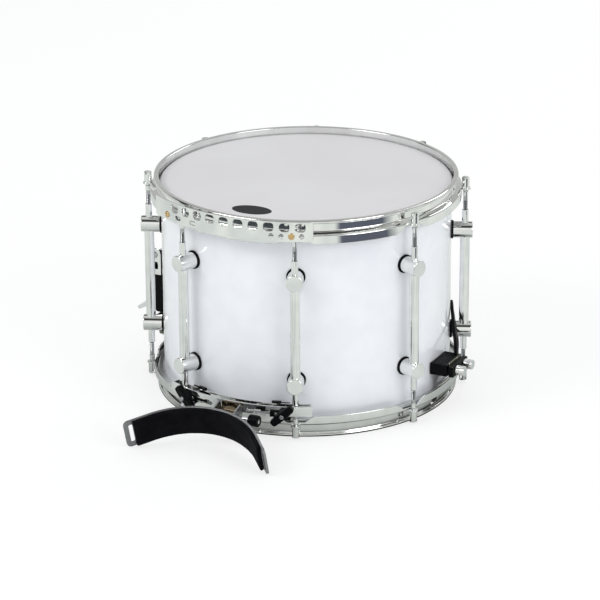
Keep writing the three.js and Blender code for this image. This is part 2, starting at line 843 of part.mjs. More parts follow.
function strainerPin() {
  const pivotX = shellRadius + pivotOut;
  const half = baseWidth / 2 + leverCheekGap + leverCheek + seatGap;
  const z = rise(pivotRise);
  return piece('strainer_pivot_pin', 'steel', join(
    barY(pivotRadius, -half - pivotHeadHeight, half + pivotHeadHeight, pivotX, z, rodSides),
    barY(pivotHeadRadius, -half - pivotHeadHeight, -half, pivotX, z),
    barY(pivotHeadRadius, half, half + pivotHeadHeight, pivotX, z),
  ));
}

function strainerSlide() {
  const back = shellOut + basePlateDepth + seatGap;
  const foot = rise(wheelFoot + wheelHeight + slideStand);
  const top = rise(baseBodyTop - baseWallPlate - slideRoofGap);
  const solid = join(
    block([back, neckX + slideFace], [-slideWidth / 2, slideWidth / 2], [foot, top]),
    barZ(neckRadius, rise(clampFoot + clampHeight - neckDepth), foot + overrun, neckX),
  );
  return piece('strainer_slide', 'steel', solid);
}

function strainerWheel() {
  const ring = barZ(wheelRadius, rise(wheelFoot), rise(wheelFoot + wheelHeight), neckX);
  const bore = barZ(neckRadius + seatGap, rise(wheelFoot) - overrun, rise(wheelFoot + wheelHeight) + overrun, neckX);
  return piece('strainer_adjusting_wheel', 'steel', cut(toSolid(ring), bore));
}

function clampBlock() {
  const front = strapRadius - strapPlate / 2 - seatGap;
  const z = [rise(clampFoot), rise(clampFoot + clampHeight)];
  const solid = toSolid(block([strapRadius - clampDepth, front], [-clampWidth / 2, clampWidth / 2], z));
  const holes = [barZ(neckRadius + seatGap, z[0] - overrun, z[1] + overrun, neckX)];
  for (const y of [-clampScrewSpread / 2, clampScrewSpread / 2]) {
    holes.push(barX(clampScrewRadius + seatGap, front - clampScrewDepth, front + overrun, y, (z[0] + z[1]) / 2, rodSides));
  }
  return piece('strainer_clamp_block', 'black', cut(solid, ...holes));
}

function clampCover() {
  const back = strapRadius + strapPlate / 2 + seatGap;
  const z = [rise(clampFoot), rise(clampFoot + clampHeight)];
  const middle = (z[0] + z[1]) / 2;
  const face = back + clampPlate;
  let solid = toSolid(block([back, face], [-clampWidth / 2, clampWidth / 2], z));
  for (const y of [-clampScrewSpread / 2, clampScrewSpread / 2]) {
    solid = solid.add(join(
      barX(clampScrewHeadRadius, back, face + clampScrewHeadHeight, y, middle, rodSides),
      barX(clampScrewRadius, strapRadius - clampScrewDepth, back + clampPlate / 2, y, middle, rodSides),
    ));
  }
  return piece('strainer_clamp_cover', 'black', solid);
}

// Butt: housing, clamp plate with two thumb screws, and the stay to the shell

function buttHousing() {
  const front = strapRadius - strapPlate / 2 - seatGap;
  const z = [rise(buttFoot), rise(buttFoot + buttHeight)];
  const solid = toSolid(block([shellOut, front], [-buttWidth / 2, buttWidth / 2], z));
  const holes = [-thumbSpread / 2, thumbSpread / 2].map((y) => barX(thumbShankRadius + thumbClearance,
    front - thumbShankDepth, front + overrun, y, (z[0] + z[1]) / 2, rodSides));
  return piece('butt_housing', 'black', cut(solid, ...holes));
}

function buttPlate() {
  const back = strapRadius + strapPlate / 2 + seatGap;
  const z = [rise(buttFoot), rise(buttFoot + buttHeight - buttPlateStep)];
  const middle = rise(buttFoot + buttHeight / 2);
  const solid = toSolid(block([back, back + buttPlateDepth], [-buttWidth / 2, buttWidth / 2], z));
  const holes = [-thumbSpread / 2, thumbSpread / 2].map((y) => barX(thumbShankRadius + thumbClearance,
    back - overrun, back + buttPlateDepth + overrun, y, middle, rodSides));
  return piece('butt_clamp_plate', 'black', cut(solid, ...holes));
}

function thumbScrew(name, y) {
  const face = strapRadius + strapPlate / 2 + seatGap * 2 + buttPlateDepth;
  const inside = strapRadius - thumbShankDepth + overrun;
  const z = rise(buttFoot + buttHeight / 2);
  return piece(name, 'chrome', join(
    barX(thumbRadius, face, face + thumbHeight, y, z),
    barX(thumbShankRadius, inside, face + thumbHeight / 2, y, z, rodSides),
  ));
}

// The stay rises from the housing's rear corner and leans back along the shell
function buttStay() {
  const foot = rise(buttFoot + buttHeight) + seatGap;
  const onShell = shellOut + stayPlate / 2;
  const route = stayShares.map(([out, swing, up]) => {
    const radius = onShell + (strapRadius - stayInset - onShell) * out;
    const angle = (stayShellAngle + (stayFootAngle - stayShellAngle) * swing) * degree;
    return new THREE.Vector3(radius * Math.cos(angle), radius * Math.sin(angle), foot + stayRise * up);
  });
  const section = new THREE.Shape([[-1, -1], [1, -1], [1, 1], [-1, 1]].map(([u, v]) => new THREE.Vector2(
    u * stayPlate / 2, v * stayWidth / 2)));
  const options = { steps: staySteps, bevelEnabled: false, extrudePath: new THREE.CatmullRomCurve3(route) };
  const bar = toSolid(new THREE.ExtrudeGeometry(section, options));
  const below = block([shellRadius, strapRadius + overrun], [-buttWidth, buttWidth], [foot - buttHeight, foot]);
  const inside = lathe([[0, rise(0)], [shellOut, rise(0)], [shellOut, 0], [0, 0]]);
  return piece('butt_stay', 'black', cut(bar, below, inside));
}

// Knee rest rail: two curved walls closed at both ends, slotted for the clamp bolts

function kneeRail() {
  const [z0, z1] = [rise(railFoot), rise(railFoot + railHeight)];
  const loop = arcBand(railInner, railOuter, -railHalfAngle, railHalfAngle, z0, z1, railSegments);
  const endWall = (railPlate / railOuter) / degree;
  const inside = arcBand(railInner + railPlate, railOuter - railPlate, endWall - railHalfAngle,
    railHalfAngle - endWall, z0 - overrun, z1 + overrun, railSegments);
  const middle = rise(boltRise);
  const slotHalf = railSlotHeight / 2;
  let solid = cut(toSolid(loop), inside);
  for (const side of [-1, 1]) {
    const [from, to] = side < 0
      ? [-railSlotEndAngle, -railSlotStartAngle] : [railSlotStartAngle, railSlotEndAngle];
    const slot = arcBand(railOuter - railPlate - overrun, railOuter + overrun, from, to,
      middle - slotHalf, middle + slotHalf, railSegments);
    const hole = barX(boltRadius + rodClearance, railInner - overrun, railInner + railPlate + overrun,
      0, middle, rodSides);
    solid = cut(solid, slot, atPlace(hole, side * clawPlace));
  }
  return piece('knee_rest_rail', 'chrome', solid);
}

function railClaw(name, side) {
  const shift = -side * clawShift;
  const [y0, y1] = [shift - clawWidth / 2, shift + clawWidth / 2];
  const lipY = side < 0 ? [y1 - clawLipWidth, y1] : [y0, y0 + clawLipWidth];
  const lipFoot = rise(railFoot + railHeight) + seatGap;
  const top = lipFoot + clawLip;
  return piece(name, 'black', join(
    block([clawBack, clawFront], [y0, y1], [rise(snareSkirtDrop - clawGrip), rise(railFoot + railHeight)]),
    block([clawBack, clawFront], lipY, [rise(railFoot), top]),
    block([clawBack, railInner + railPlate], lipY, [lipFoot, top]),
    barX(boltRadius, clawBack, boltTip, 0, rise(boltRise), rodSides),
  ));
}

function wingNut(name, side) {
  const z = rise(boltRise);
  const hub = barX(wingHubRadius, wingStart, wingStart + wingHubHeight, 0, 0);
  const barBack = wingStart + wingHubHeight / 2;
  const bar = block([barBack, barBack + wingDepth], [-wingLength / 2, wingLength / 2],
    [-wingWidth / 2, wingWidth / 2]);
  const angle = side < 0 ? 180 - wingTiltAngle : wingTiltAngle;
  bar.rotateX(angle * degree);
  const bore = barX(boltRadius + rodClearance, wingStart - overrun, barBack + wingDepth + overrun, 0, 0, rodSides);
  const solid = cut(join(hub, bar), bore);
  return piece(name, 'black', solid.translate([0, 0, z]));
}

// Hinge: a tongue on the rail, a pin through it and the cheeks of the knee rest

function hingeTongue() {
  const half = tongueWidth / 2;
  const face = railOuter + seatGap;
  const axisZ = rise(tiltAxisRise);
  const railTop = rise(railFoot + railHeight);
  const outline = [
    [face, railTop],
    [face, rise(railFoot)],
    [tiltAxisOut, axisZ - tongueLink / 2],
    [tiltAxisOut, axisZ + tongueLink / 2],
    [face + tonguePlate, rise(railFoot) + tonguePlate * 2],
    [face + tonguePlate, railTop],
  ];
  const solid = join(slab(outline, -half, half),
    barY(tongueBarrelRadius, -half, half, tiltAxisOut, axisZ));
  const bore = barY(tiltPinRadius + seatGap, -half - overrun, half + overrun, tiltAxisOut, axisZ);
  return piece('hinge_tongue', 'brass', cut(solid, bore));
}

function hingePin() {
  const half = cheekSpan / 2 + seatGap;
  const end = half + knobStand + knobLength;
  const z = rise(tiltAxisRise);
  return piece('hinge_pin', 'steel', join(
    barY(tiltPinRadius, -half - tiltPinHeadHeight, end, tiltAxisOut, z, rodSides),
    barY(tiltPinHeadRadius, -half - tiltPinHeadHeight, -half, tiltAxisOut, z),
    barY(tiltPinHeadRadius, half, half + tiltPinHeadHeight, tiltAxisOut, z),
  ));
}

function hingeCheeks() {
  const axisZ = rise(tiltAxisRise);
  const outer = cheekSpan / 2;
  const front = kneeApexOut - seatGap;
  const web = front - cheekWeb;
  const [top, foot] = [axisZ + cheekTopReach, rise(kneeTop - kneeHeight)];
  let solid = toSolid(block([web, front], [-outer, outer], [foot, top]));
  for (const side of [-1, 1]) {
    const [y0, y1] = side < 0 ? [-outer, cheekPlate - outer] : [outer - cheekPlate, outer];
    solid = solid.add(join(
      block([tiltAxisOut - cheekRearReach, front], [y0, y1], [axisZ, top]),
      block([tiltAxisOut, front], [y0, y1], [foot, top]),
      barY(cheekRound, y0, y1, tiltAxisOut, axisZ),
    ));
  }
  const bore = barY(tiltPinRadius + seatGap, -outer - overrun, outer + overrun, tiltAxisOut, axisZ);
  return piece('hinge_cheeks', 'aluminium', cut(solid, bore));
}

function lockKnob() {
  const start = cheekSpan / 2 + seatGap + knobStand;
  const z = rise(tiltAxisRise);
  const knob = barY(knobRadius, start, start + knobLength, tiltAxisOut, z);
  const bore = barY(tiltPinRadius + seatGap, start - overrun, start + knobLength + overrun, tiltAxisOut, z);
  return piece('tilt_lock_knob', 'black', cut(toSolid(knob), bore));
}

// Knee plate and pad: half-round bands whose hollow faces outwards

function kneeCentre() {
  return kneeApexOut + kneePlateRadius;
}

// Carries a tool made at the band's middle to a distance along a leg, on one side or the other
function alongLeg(geometry, side, distance) {
  geometry.translate(-kneeCentre(), side * distance, 0).rotateZ(-side * kneeBendAngle * degree);
  return geometry.translate(kneeCentre(), 0, 0);
}

function kneeLeg(outer, inner, side, length, z0, z1) {
  const centre = kneeCentre();
  return alongLeg(block([centre - outer, centre - inner], [-length / 2, length / 2], [z0, z1]), side, length / 2);
}

function kneeBand(outer, inner, legLength, z0, z1) {
  const bend = arcBand(inner, outer, -kneeBendAngle, kneeBendAngle, z0, z1, kneeSegments);
  return join(
    bend.rotateZ(-quarterTurn).translate(kneeCentre(), 0, 0),
    kneeLeg(outer, inner, -1, legLength, z0, z1),
    kneeLeg(outer, inner, 1, legLength, z0, z1),
  );
}

function kneePlate() {
  const [z0, z1] = [rise(kneeTop - kneeHeight), rise(kneeTop)];
  const inner = kneePlateRadius - kneePlateThickness;
  const outFace = kneeCentre() - inner;
  const radial = [kneeApexOut - overrun, outFace + overrun];
  let solid = kneeBand(kneePlateRadius, inner, kneeLegLength, z0, z1);
  const middle = (z0 + z1) / 2;
  for (const side of [-1, 1]) {
    const slot = block(radial, [-strapSlotWidth / 2, strapSlotWidth / 2],
      [middle - strapSlotHeight / 2, middle + strapSlotHeight / 2]);
    solid = cut(solid, alongLeg(slot, side, kneeLegLength - strapSlotBorder - strapSlotWidth / 2));
    for (const z of [z0, z1]) {
      const corner = block(radial, [-kneeCorner / Math.SQRT2, kneeCorner / Math.SQRT2],
        [-kneeCorner / Math.SQRT2, kneeCorner / Math.SQRT2]);
      corner.translate(-kneeApexOut, 0, 0).rotateX(quarterTurn / 2).translate(kneeApexOut, 0, z);
      solid = cut(solid, alongLeg(corner, side, kneeLegLength));
    }
  }
  return piece('knee_plate', 'aluminium', solid);
}

function kneePad() {
  const outer = kneePlateRadius - kneePlateThickness - seatGap;
  const z = [rise(kneeTop - kneeHeight) + kneePadInset, rise(kneeTop) - kneePadInset];
  return piece('knee_pad', 'foam', kneeBand(outer, outer - kneePadThickness, kneePadLegLength, ...z));
}

// Assembly

const drum = new THREE.Group();

drum.add(
  shell(),
  headFilm('batter_head', 0, true),
  headFilm('snare_side_head', snareHeadPlane, false),
  fleshHoop('batter_flesh_hoop', batterRim, true, batterWallDrop, batterFlangeDrop),
  fleshHoop('snare_side_flesh_hoop', snareRim, false, snareWallDrop, snareFlangeDrop),
  hoop('batter_hoop', batterRim, true, batterWallDrop, batterFlangeDrop, batterSkirtDrop),
  hoop('snare_side_hoop', snareRim, false, snareWallDrop, snareFlangeDrop, snareSkirtDrop),
  slingStrip(),
  snareSet(),
  kneeRail(),
);

const frontStations = [0, stationCount - 1];
stationAngles().forEach((azimuth, index) => {
  const place = station(azimuth);
  const lift = frontStations.includes(index) ? bracketPlate + seatGap : 0;
  place.add(
    lug(`lug_${index + 1}`),
    tensionRod(`batter_rod_${index + 1}`, batterRim, true, lift),
    tensionRod(`snare_side_rod_${index + 1}`, snareRim, false, 0),
  );
  drum.add(place);
});

for (const [label, side, rivetAngle] of [['left', -1, leftRivetAngle], ['right', 1, rightRivetAngle]]) {
  const bracketPlace = station(side * firstStationAngle);
  bracketPlace.add(slingBracket(`sling_bracket_${label}`, side * firstStationAngle, rivetAngle));
  const rivetStation = station(rivetAngle);
  rivetStation.add(slingRivet(`sling_rivet_${label}`));
  const clawStation = station(side * clawPlace);
  clawStation.add(railClaw(`rail_claw_${label}`, side), wingNut(`rail_wing_nut_${label}`, side));
  drum.add(bracketPlace, rivetStation, clawStation);
}

const strainer = station(strainerPlace);
strainer.add(strainerBase(), strainerLever(), strainerPin(), strainerSlide(), strainerWheel(),
  clampBlock(), clampCover());

const butt = station(buttPlace);
butt.add(buttHousing(), buttPlate(), thumbScrew('butt_thumb_screw_left', -thumbSpread / 2),
  thumbScrew('butt_thumb_screw_right', thumbSpread / 2), buttStay());

const front = station(0);
front.add(hingeTongue(), hingePin(), lockKnob());

const tilt = new THREE.Group();
tilt.position.set(tiltAxisOut, 0, rise(tiltAxisRise));
tilt.rotation.y = restTiltAngle * degree;
const rest = new THREE.Group();
rest.position.set(-tiltAxisOut, 0, -rise(tiltAxisRise));
rest.add(hingeCheeks(), kneePlate(), kneePad());
tilt.add(rest);
front.add(tilt);

drum.add(strainer, butt, front);

export default drum;
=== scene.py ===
"""A marching snare drum dressed over its CAD frame. Pieces are modelled in millimetres and
settled in metres. The knee rest faces -Y, the strainer is on -X and the butt on +X."""

import math

import bpy
from mathutils import Matrix, Vector


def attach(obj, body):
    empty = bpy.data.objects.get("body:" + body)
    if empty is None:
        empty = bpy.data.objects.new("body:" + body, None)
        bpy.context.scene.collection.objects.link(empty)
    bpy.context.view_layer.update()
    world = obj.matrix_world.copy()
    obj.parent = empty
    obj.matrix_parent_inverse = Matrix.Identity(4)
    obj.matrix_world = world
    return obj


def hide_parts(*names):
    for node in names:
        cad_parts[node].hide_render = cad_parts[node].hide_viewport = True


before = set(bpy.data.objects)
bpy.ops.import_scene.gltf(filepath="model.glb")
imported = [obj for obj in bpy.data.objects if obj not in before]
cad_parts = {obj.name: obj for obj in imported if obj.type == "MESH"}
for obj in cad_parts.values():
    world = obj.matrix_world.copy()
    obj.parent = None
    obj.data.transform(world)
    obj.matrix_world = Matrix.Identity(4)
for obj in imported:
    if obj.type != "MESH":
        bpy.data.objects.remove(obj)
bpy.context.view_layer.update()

MM = 0.001
TURN = math.tau
SMOOTH_ANGLE = math.radians(32)
STILL = Matrix.Identity(4)
SIDES = (("left", -1), ("right", 1))

# Shell and rims
SHELL_RADIUS = 177.8
SHELL_WALL = 6.4
SHELL_TOP = -0.9
SHELL_BOTTOM = -254.9
EDGE_INSET = 1.9
FILM = 0.6
HEAD_LOW = -255.8
RIM_TOP = 8.4
RIM_LOW = -263.9
RING_STEPS = 240

# Hoops: heights are drops from the rim
HOOP_WALL_IN = 179.7
HOOP_WALL_OUT = 182.0
BEAD_OUT = 185.8
BEAD_DEPTH = 3.8
FLANGE_OUT = 190.5
SKIRT_IN = 188.6
FLANGE_PLATE = 2.1
EAR_DROP = 19.3
EAR_PLATE = 2.3
EAR_HALF = 10.0
EAR_REACH = 200.4
GAP_TOP = 10.7
SKIRT_END = ((13.0, 6.6, 2.0), (17.8, 2.9, 8.0), (29.0, 0.0, 20.0))
BATTER_DROPS = (13.9, 16.4, 27.4)
SNARE_DROPS = (15.7, 18.2, 28.7)
GATE_HALF = 24.0
GATE_FOOT = 4.4
GATE_DEPTH = 11.5

# Stations
STATION_COUNT = 8
FIRST_STATION = 22.5
ROD_CIRCLE = 194.4
ROD_RADIUS = 2.8
POST_UP = -62.8
POST_LOW = -193.0
POST_RADIUS = 10.0
POST_FACE = 203.8
GASKET_RADIUS = 11.3
TUBE_RADIUS = 6.0
SLEEVE_RADIUS = 4.0
SLEEVE_REACH = 26.0
WASHER_RADIUS = 6.2
WASHER_HEIGHT = 3.0
HEAD_RADIUS = 4.65
HEAD_HEIGHT = 12.4
ROD_TOP = WASHER_HEIGHT + HEAD_HEIGHT
BRACKET_LIFT = 1.5

# Sling strip
STRIP_IN = 203.5
STRIP_OUT = 205.5
STRIP_START = -33.8
STRIP_END = 28.8
STRIP_TOP = 14.1
STRIP_HEIGHT = 24.4
ROW_MIDDLE = 1.04
ROW_STEP = 5.2335
ROW_UP = 7.1
SMALL_ROW_UP = -3.4
LONG_HOLE_ANGLES = (-20.9, -13.9)
SMALL_HOLE_ANGLES = (15.0, 18.3, 25.0)
RIVET_ANGLES = {"left": -26.5, "right": 21.7}

# Strainer, butt and snares
STRAP_RADIUS = 201.0
CLAMP_IN = 200.1
CLAMP_OUT = 201.9
STRAP_PLATE = 1.2
STRAP_WIDTH = 37.0
STRAND_COUNT = 12
STRAND_PITCH = 3.0
PIVOT_OUT = 204.0
PIVOT_UP = 138.5
BASE_HALF = 17.0
BASE_FACE = 205.8
LEVER_IN = 17.4
LEVER_HALF = 19.4
CLAMP_LOW = 41.0
CLAMP_TOP = 56.5
SLIDE_NECK_OUT = 194.0
BUTT_LOW = 45.0
BUTT_SCREWS_UP = 52.5

# Knee rest
RAIL_FOOT = 32.5
RAIL_TOP = 44.5
BOLT_UP = 36.0
BOLT_AZIMUTH = 18.3
TILT_OUT = 212.0
TILT_UP = 30.0
REST_TILT = 16.8
KNEE_CENTRE = 336.4
PLATE_BACK = 99.3
PLATE_FRONT = 96.3
PAD_BACK = 96.0
PAD_FRONT = 90.8
KNEE_LOW = 24.3
KNEE_HIGH = 61.3
KNEE_BEND = 47.0
PLATE_LEG = 32.5
PAD_LEG = 21.5
CHEEK_HALF = 15.0
CHEEK_TOP = 42.5

# Camera in metres and degrees, fitted to the rims and the lug heights of the photograph
FOCAL_PIXELS = 2965.3
FRAME_PIXELS = 600
SENSOR_WIDTH = 36
CAMERA_PLACE = (1.537, -3.072, 1.1439)
CAMERA_TURN = 26.72
CAMERA_DIP = 20.777
CAMERA_ROLL = -0.32

# Lights in metres and watts: name, place, size and power
LIT_MIDDLE = (0, 0, -0.13)
LIGHTS = (("key_softbox", (-1.6, -2.4, 2.2), (1.8, 1.2), 42),
          ("fill_softbox", (2.6, -0.9, 1.3), (1.4, 1.6), 24),
          ("back_softbox", (0.3, 2.6, 1.8), (2.2, 0.8), 16))

# World and floor: levels and sectors by share of half a turn, tones and reach by metres from the axis
BLACK, WHITE, PAINTED_SHADOW = (0, 0, 0), (1, 1, 1), (0.02, 0.02, 0.02)
SOFT_STRENGTH = 0.70
FLOOR_GLOW = 0.7
ROOM_FRONT = (0.4474, -0.8943, 0)
ROOM_LEVELS = ((0.0, 0.66), (0.03, 0.92), (0.21, 0.92), (0.25, 0.05), (0.38, 0.06), (0.45, 0.55),
               (0.60, 0.75), (0.64, 0.90), (0.67, 0.05), (0.76, 0.05), (0.81, 0.42), (1.0, 0.62))
# Floor tones as metal sees them: a painted shadow under the drum out to about 0.19 m, then pale floor
SHADOW_AND_FLOOR_TONES = ((0.0, PAINTED_SHADOW), (0.1925, PAINTED_SHADOW), (0.1965, (0.60, 0.62, 0.59)), (0.30, (0.74, 0.76, 0.72)),
               (1.0, (0.78, 0.80, 0.75)))
DAPPLE_TONES = ((0.0, (0.78, 0.80, 0.83)), (0.42, (0.86, 0.88, 0.90)), (0.58, WHITE), (1.0, WHITE))
# A painted reflection of a dark flag, in the floor as metal sees it: its tone, sector and reach
PAINTED_FLAG_TONE = (0.10, 0.11, 0.14)
PAINTED_FLAG_SECTOR = ((0.0, BLACK), (0.255, BLACK), (0.275, WHITE), (0.45, WHITE), (0.50, BLACK), (1.0, BLACK))
PAINTED_FLAG_REACH = ((0.0, BLACK), (0.74, BLACK), (0.80, WHITE), (1.0, WHITE))


def up(height):
    """A height above the lower rim, in the frame's own z."""
    return RIM_LOW + height


def raised(corners):
    """An outline (a, height above the lower rim, radius) in the frame's own z."""
    return [(a, up(height), radius) for a, height, radius in corners]


# Modelling steps


def enter(mode):
    bpy.ops.object.mode_set(mode=mode)


def select_all():
    bpy.ops.mesh.select_all(action="SELECT")


def extrude(step):
    bpy.ops.mesh.extrude_region_move(TRANSFORM_OT_translate={"value": step})


def deselect():
    if bpy.context.object and bpy.context.object.mode != "OBJECT":
        enter("OBJECT")
    bpy.ops.object.select_all(action="DESELECT")


def pick(piece):
    deselect()
    piece.select_set(True)
    bpy.context.view_layer.objects.active = piece


def rounded(corners, steps=5):
    """Turns corners (a, b, radius) into an outline of points with round corners."""
    points = []
    for index, (a, b, radius) in enumerate(corners):
        here = Vector((a, b))
        if not radius:
            points.append(here)
            continue
        before = (Vector(corners[index - 1][:2]) - here).normalized()
        after = (Vector(corners[(index + 1) % len(corners)][:2]) - here).normalized()
        half = before.angle(after) / 2
        centre = here + (before + after).normalized() * (radius / math.sin(half))
        start = here + before * (radius / math.tan(half)) - centre
        end = here + after * (radius / math.tan(half)) - centre
        sweep = math.atan2(start.x * end.y - start.y * end.x, start.dot(end))
        for step in range(steps + 1):
            angle = sweep * step / steps
            turned_ray = Matrix.Rotation(angle, 2) @ start
            points.append(centre + turned_ray)
    return points


def trace(points):
    """Draws a chain of edges through the points by extruding one vertex."""
    deselect()
    bpy.ops.mesh.primitive_plane_add(size=1)
    enter("EDIT")
    select_all()
    bpy.ops.mesh.merge(type="CENTER")
    bpy.ops.transform.translate(value=points[0])
    for before, after in zip(points, points[1:]):
        extrude(after - before)
    select_all()
    return bpy.context.object


def tidy_mesh():
    select_all()
    bpy.ops.mesh.remove_doubles(threshold=0.001)
    bpy.ops.mesh.normals_make_consistent(inside=False)
    enter("OBJECT")


def turned(corners, steps=48, axis="Z"):
    """A turned piece: an outline (r, s) spun about an axis, s along it."""
    outline = [Vector((p.x, 0, p.y)) for p in rounded(corners)]
    piece = trace(outline)
    if outline[0].x > 0 or outline[-1].x > 0:
        bpy.ops.mesh.edge_face_add()
        bpy.ops.mesh.delete(type="ONLY_FACE")
        select_all()
    bpy.ops.mesh.spin(steps=steps, angle=TURN, center=(0, 0, 0), axis=(0, 0, 1))
    tidy_mesh()
    if axis == "X":
        piece.data.transform(rotation(90, "Y"))
    elif axis == "Y":
        piece.data.transform(rotation(-90, "X"))
    return piece


def on_axis(a, b, depth, axis):
    return Vector({"X": (depth, a, b), "Y": (a, depth, b), "Z": (a, b, depth)}[axis])


def prism(corners, low, high, axis="Y", bevel=0.0, steps=5):
    """An outline given depth along an axis: (y, z) along X, (x, z) along Y, (x, y) along Z."""
    piece = trace([on_axis(p.x, p.y, low, axis) for p in rounded(corners, steps)])
    bpy.ops.mesh.edge_face_add()
    select_all()
    extrude(on_axis(0, 0, high - low, axis))
    tidy_mesh()
    if bevel:
        soften(piece, bevel)
    return piece


def block(low, high, bevel=0.4, corner=0.0, axis="Z"):
    """A box between two corners, its edges eased, round at the corners along one axis."""
    spans = [(low[i], high[i]) for i in range(3)]
    order = {"X": (1, 2, 0), "Y": (0, 2, 1), "Z": (0, 1, 2)}[axis]
    (a0, a1), (b0, b1), (d0, d1) = (spans[i] for i in order)
    corners = [(a0, b0, corner), (a1, b0, corner), (a1, b1, corner), (a0, b1, corner)]
    return prism(corners, d0, d1, axis, bevel)


def bar(radius, start, end, axis="X", ease=0.4, steps=32, at=(0, 0)):
    """A round bar along an axis, its ends eased; at is its place across the axis."""
    corners = [(0, start, 0), (radius, start, ease), (radius, end, ease), (0, end, 0)]
    piece = turned(corners, steps, axis)
    piece.data.transform(Matrix.Translation(on_axis(at[0], at[1], 0, axis)))
    return piece


def apply_modifier(piece, kind, **values):
    pick(piece)
    bpy.ops.object.modifier_add(type=kind)
    modifier = piece.modifiers[-1]
    for name, value in values.items():
        setattr(modifier, name, value)
    bpy.ops.object.modifier_apply(modifier=modifier.name)


def soften(piece, width, segments=2, angle=40):
    apply_modifier(piece, "BEVEL", width=width, segments=segments, limit_method="ANGLE",
                   angle_limit=math.radians(angle), harden_normals=False)


def cut(piece, *tools):
    """Takes the tools away from the piece, in one boolean."""
    tool = gather(tools)
    apply_modifier(piece, "BOOLEAN", operation="DIFFERENCE", solver="EXACT", object=tool)
    bpy.data.objects.remove(tool)
    return piece


def gather(pieces):
    """Joins pieces into the first one."""
    deselect()
    for piece in pieces:
        piece.select_set(True)
    bpy.context.view_layer.objects.active = pieces[0]
    if len(pieces) > 1:
        bpy.ops.object.join()
    return pieces[0]


def duplicate(piece, place=STILL):
    """A copy with its own mesh, moved by a matrix."""
    copy = piece.copy()
    copy.data = piece.data.copy()
    bpy.context.collection.objects.link(copy)
    copy.data.transform(place)
    return copy


def slice_along(piece, axis, start, end, count):
    """Cuts the faces of a piece by parallel planes, so that it can be bent smoothly."""
    pick(piece)
    enter("EDIT")
    for step in range(1, count):
        place = start + (end - start) * step / count
        select_all()
        bpy.ops.mesh.bisect(plane_co=on_axis(0, 0, place, axis), plane_no=on_axis(0, 0, 1, axis))
    enter("OBJECT")


def wrap(piece, radius):
    """Bends a flat piece, x as its radius and y as length at the radius, round an upright axis."""
    for vertex in piece.data.vertices:
        angle = vertex.co.y / radius
        reach = vertex.co.x
        vertex.co.x = reach * math.cos(angle)
        vertex.co.y = reach * math.sin(angle)


def shift(x, y, z):
    return Matrix.Translation((x, y, z))


def rotation(degrees, axis):
    return Matrix.Rotation(math.radians(degrees), 4, axis)


def move(piece, place):
    piece.data.transform(place)
    return piece


def station(azimuth):
    """Places a piece made with x outwards at its azimuth round the drum."""
    return rotation(azimuth - 90, "Z")


def station_angles():
    """The azimuths of the eight lugs, from the one right of the front."""
    return [FIRST_STATION + 360 * i / STATION_COUNT for i in range(STATION_COUNT)]


def settle(piece, name, material, node="", place=STILL, body="root"):
    """Finishes a piece: place, metres, shading, material, and what it rides on and replaces."""
    pick(piece)
    bpy.ops.object.shade_smooth_by_angle(angle=SMOOTH_ANGLE)
    move(piece, Matrix.Scale(MM, 4) @ place)
    apply_modifier(piece, "WEIGHTED_NORMAL", keep_sharp=True)
    piece.data.materials.clear()
    piece.data.materials.append(material)
    piece.name = name
    piece.data.name = name
    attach(piece, body)
    if node:
        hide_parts(node)


# Materials


def new_material(name):
    material = bpy.data.materials.new(name)
    material.use_nodes = True
    tree = material.node_tree
    return material, tree, tree.nodes["Principled BSDF"]


def put(tree, socket, value):
    """Links an input to a socket, or sets it to a value."""
    if isinstance(value, bpy.types.NodeSocket):
        tree.links.new(value, socket)
    else:
        socket.default_value = value


def feed(tree, node, **values):
    """Sets or links a node's inputs; a keyword names an input, with _ for a space."""
    for name, value in values.items():
        put(tree, node.inputs[name.replace("_", " ")], value)
    return node.outputs


def add(tree, kind, output=0, **values):
    """One output of a new shader node with its inputs set or linked."""
    return feed(tree, tree.nodes.new("ShaderNode" + kind), **values)[output]


def ramp_of(tree, source, stops):
    """A ramp of colours over a value from 0 to 1."""
    ramp = tree.nodes.new("ShaderNodeValToRGB")
    elements = ramp.color_ramp.elements
    elements[0].position, elements[1].position = stops[0][0], stops[-1][0]
    for place, _ in stops[1:-1]:
        elements.new(place)
    for element, (_, colour) in zip(elements, stops):
        element.color = (*colour, 1)
    return feed(tree, ramp, Fac=source)["Color"]


def finish(name, tones, polish, strength, grain, cloud=None, distance=0.0002, **inputs):
    """A finish: its grain gives bump and polish, and the tone follows a cloud or the same grain."""
    material, tree, shader = new_material(name)
    place = add(tree, "TexCoord", "Object")
    fine = add(tree, Vector=place, **grain)
    broad = add(tree, Vector=place, **cloud) if cloud else fine
    tone = ramp_of(tree, broad, ((0.35, tones[0]), (0.65, tones[1])))
    rough = add(tree, "MapRange", To_Min=polish[0], To_Max=polish[1], Value=fine)
    normal = add(tree, "Bump", Strength=strength, Distance=distance, Height=fine)
    feed(tree, shader, Base_Color=tone, Roughness=rough, Normal=normal, **inputs)
    return material


def noise(scale, detail):
    return {"kind": "TexNoise", "Scale": scale, "Detail": detail}


def plated(name, colour, low, high, scale, strength):
    """A bright metal whose polish varies a little, with fine marks."""
    deeper = tuple(0.93 * channel for channel in colour)
    return finish(name, (deeper, colour), (low, high), strength, noise(scale, 2), Metallic=1.0)


def black_finish(name, colour, low, high, scale, strength, distance=0.0002):
    """A dark paint, rubber, print or tape with a fine grain."""
    lighter = tuple(1.8 * channel for channel in colour)
    return finish(name, (colour, lighter), (low, high), strength, noise(scale, 3), distance=distance,
                  Specular_IOR_Level=0.08)


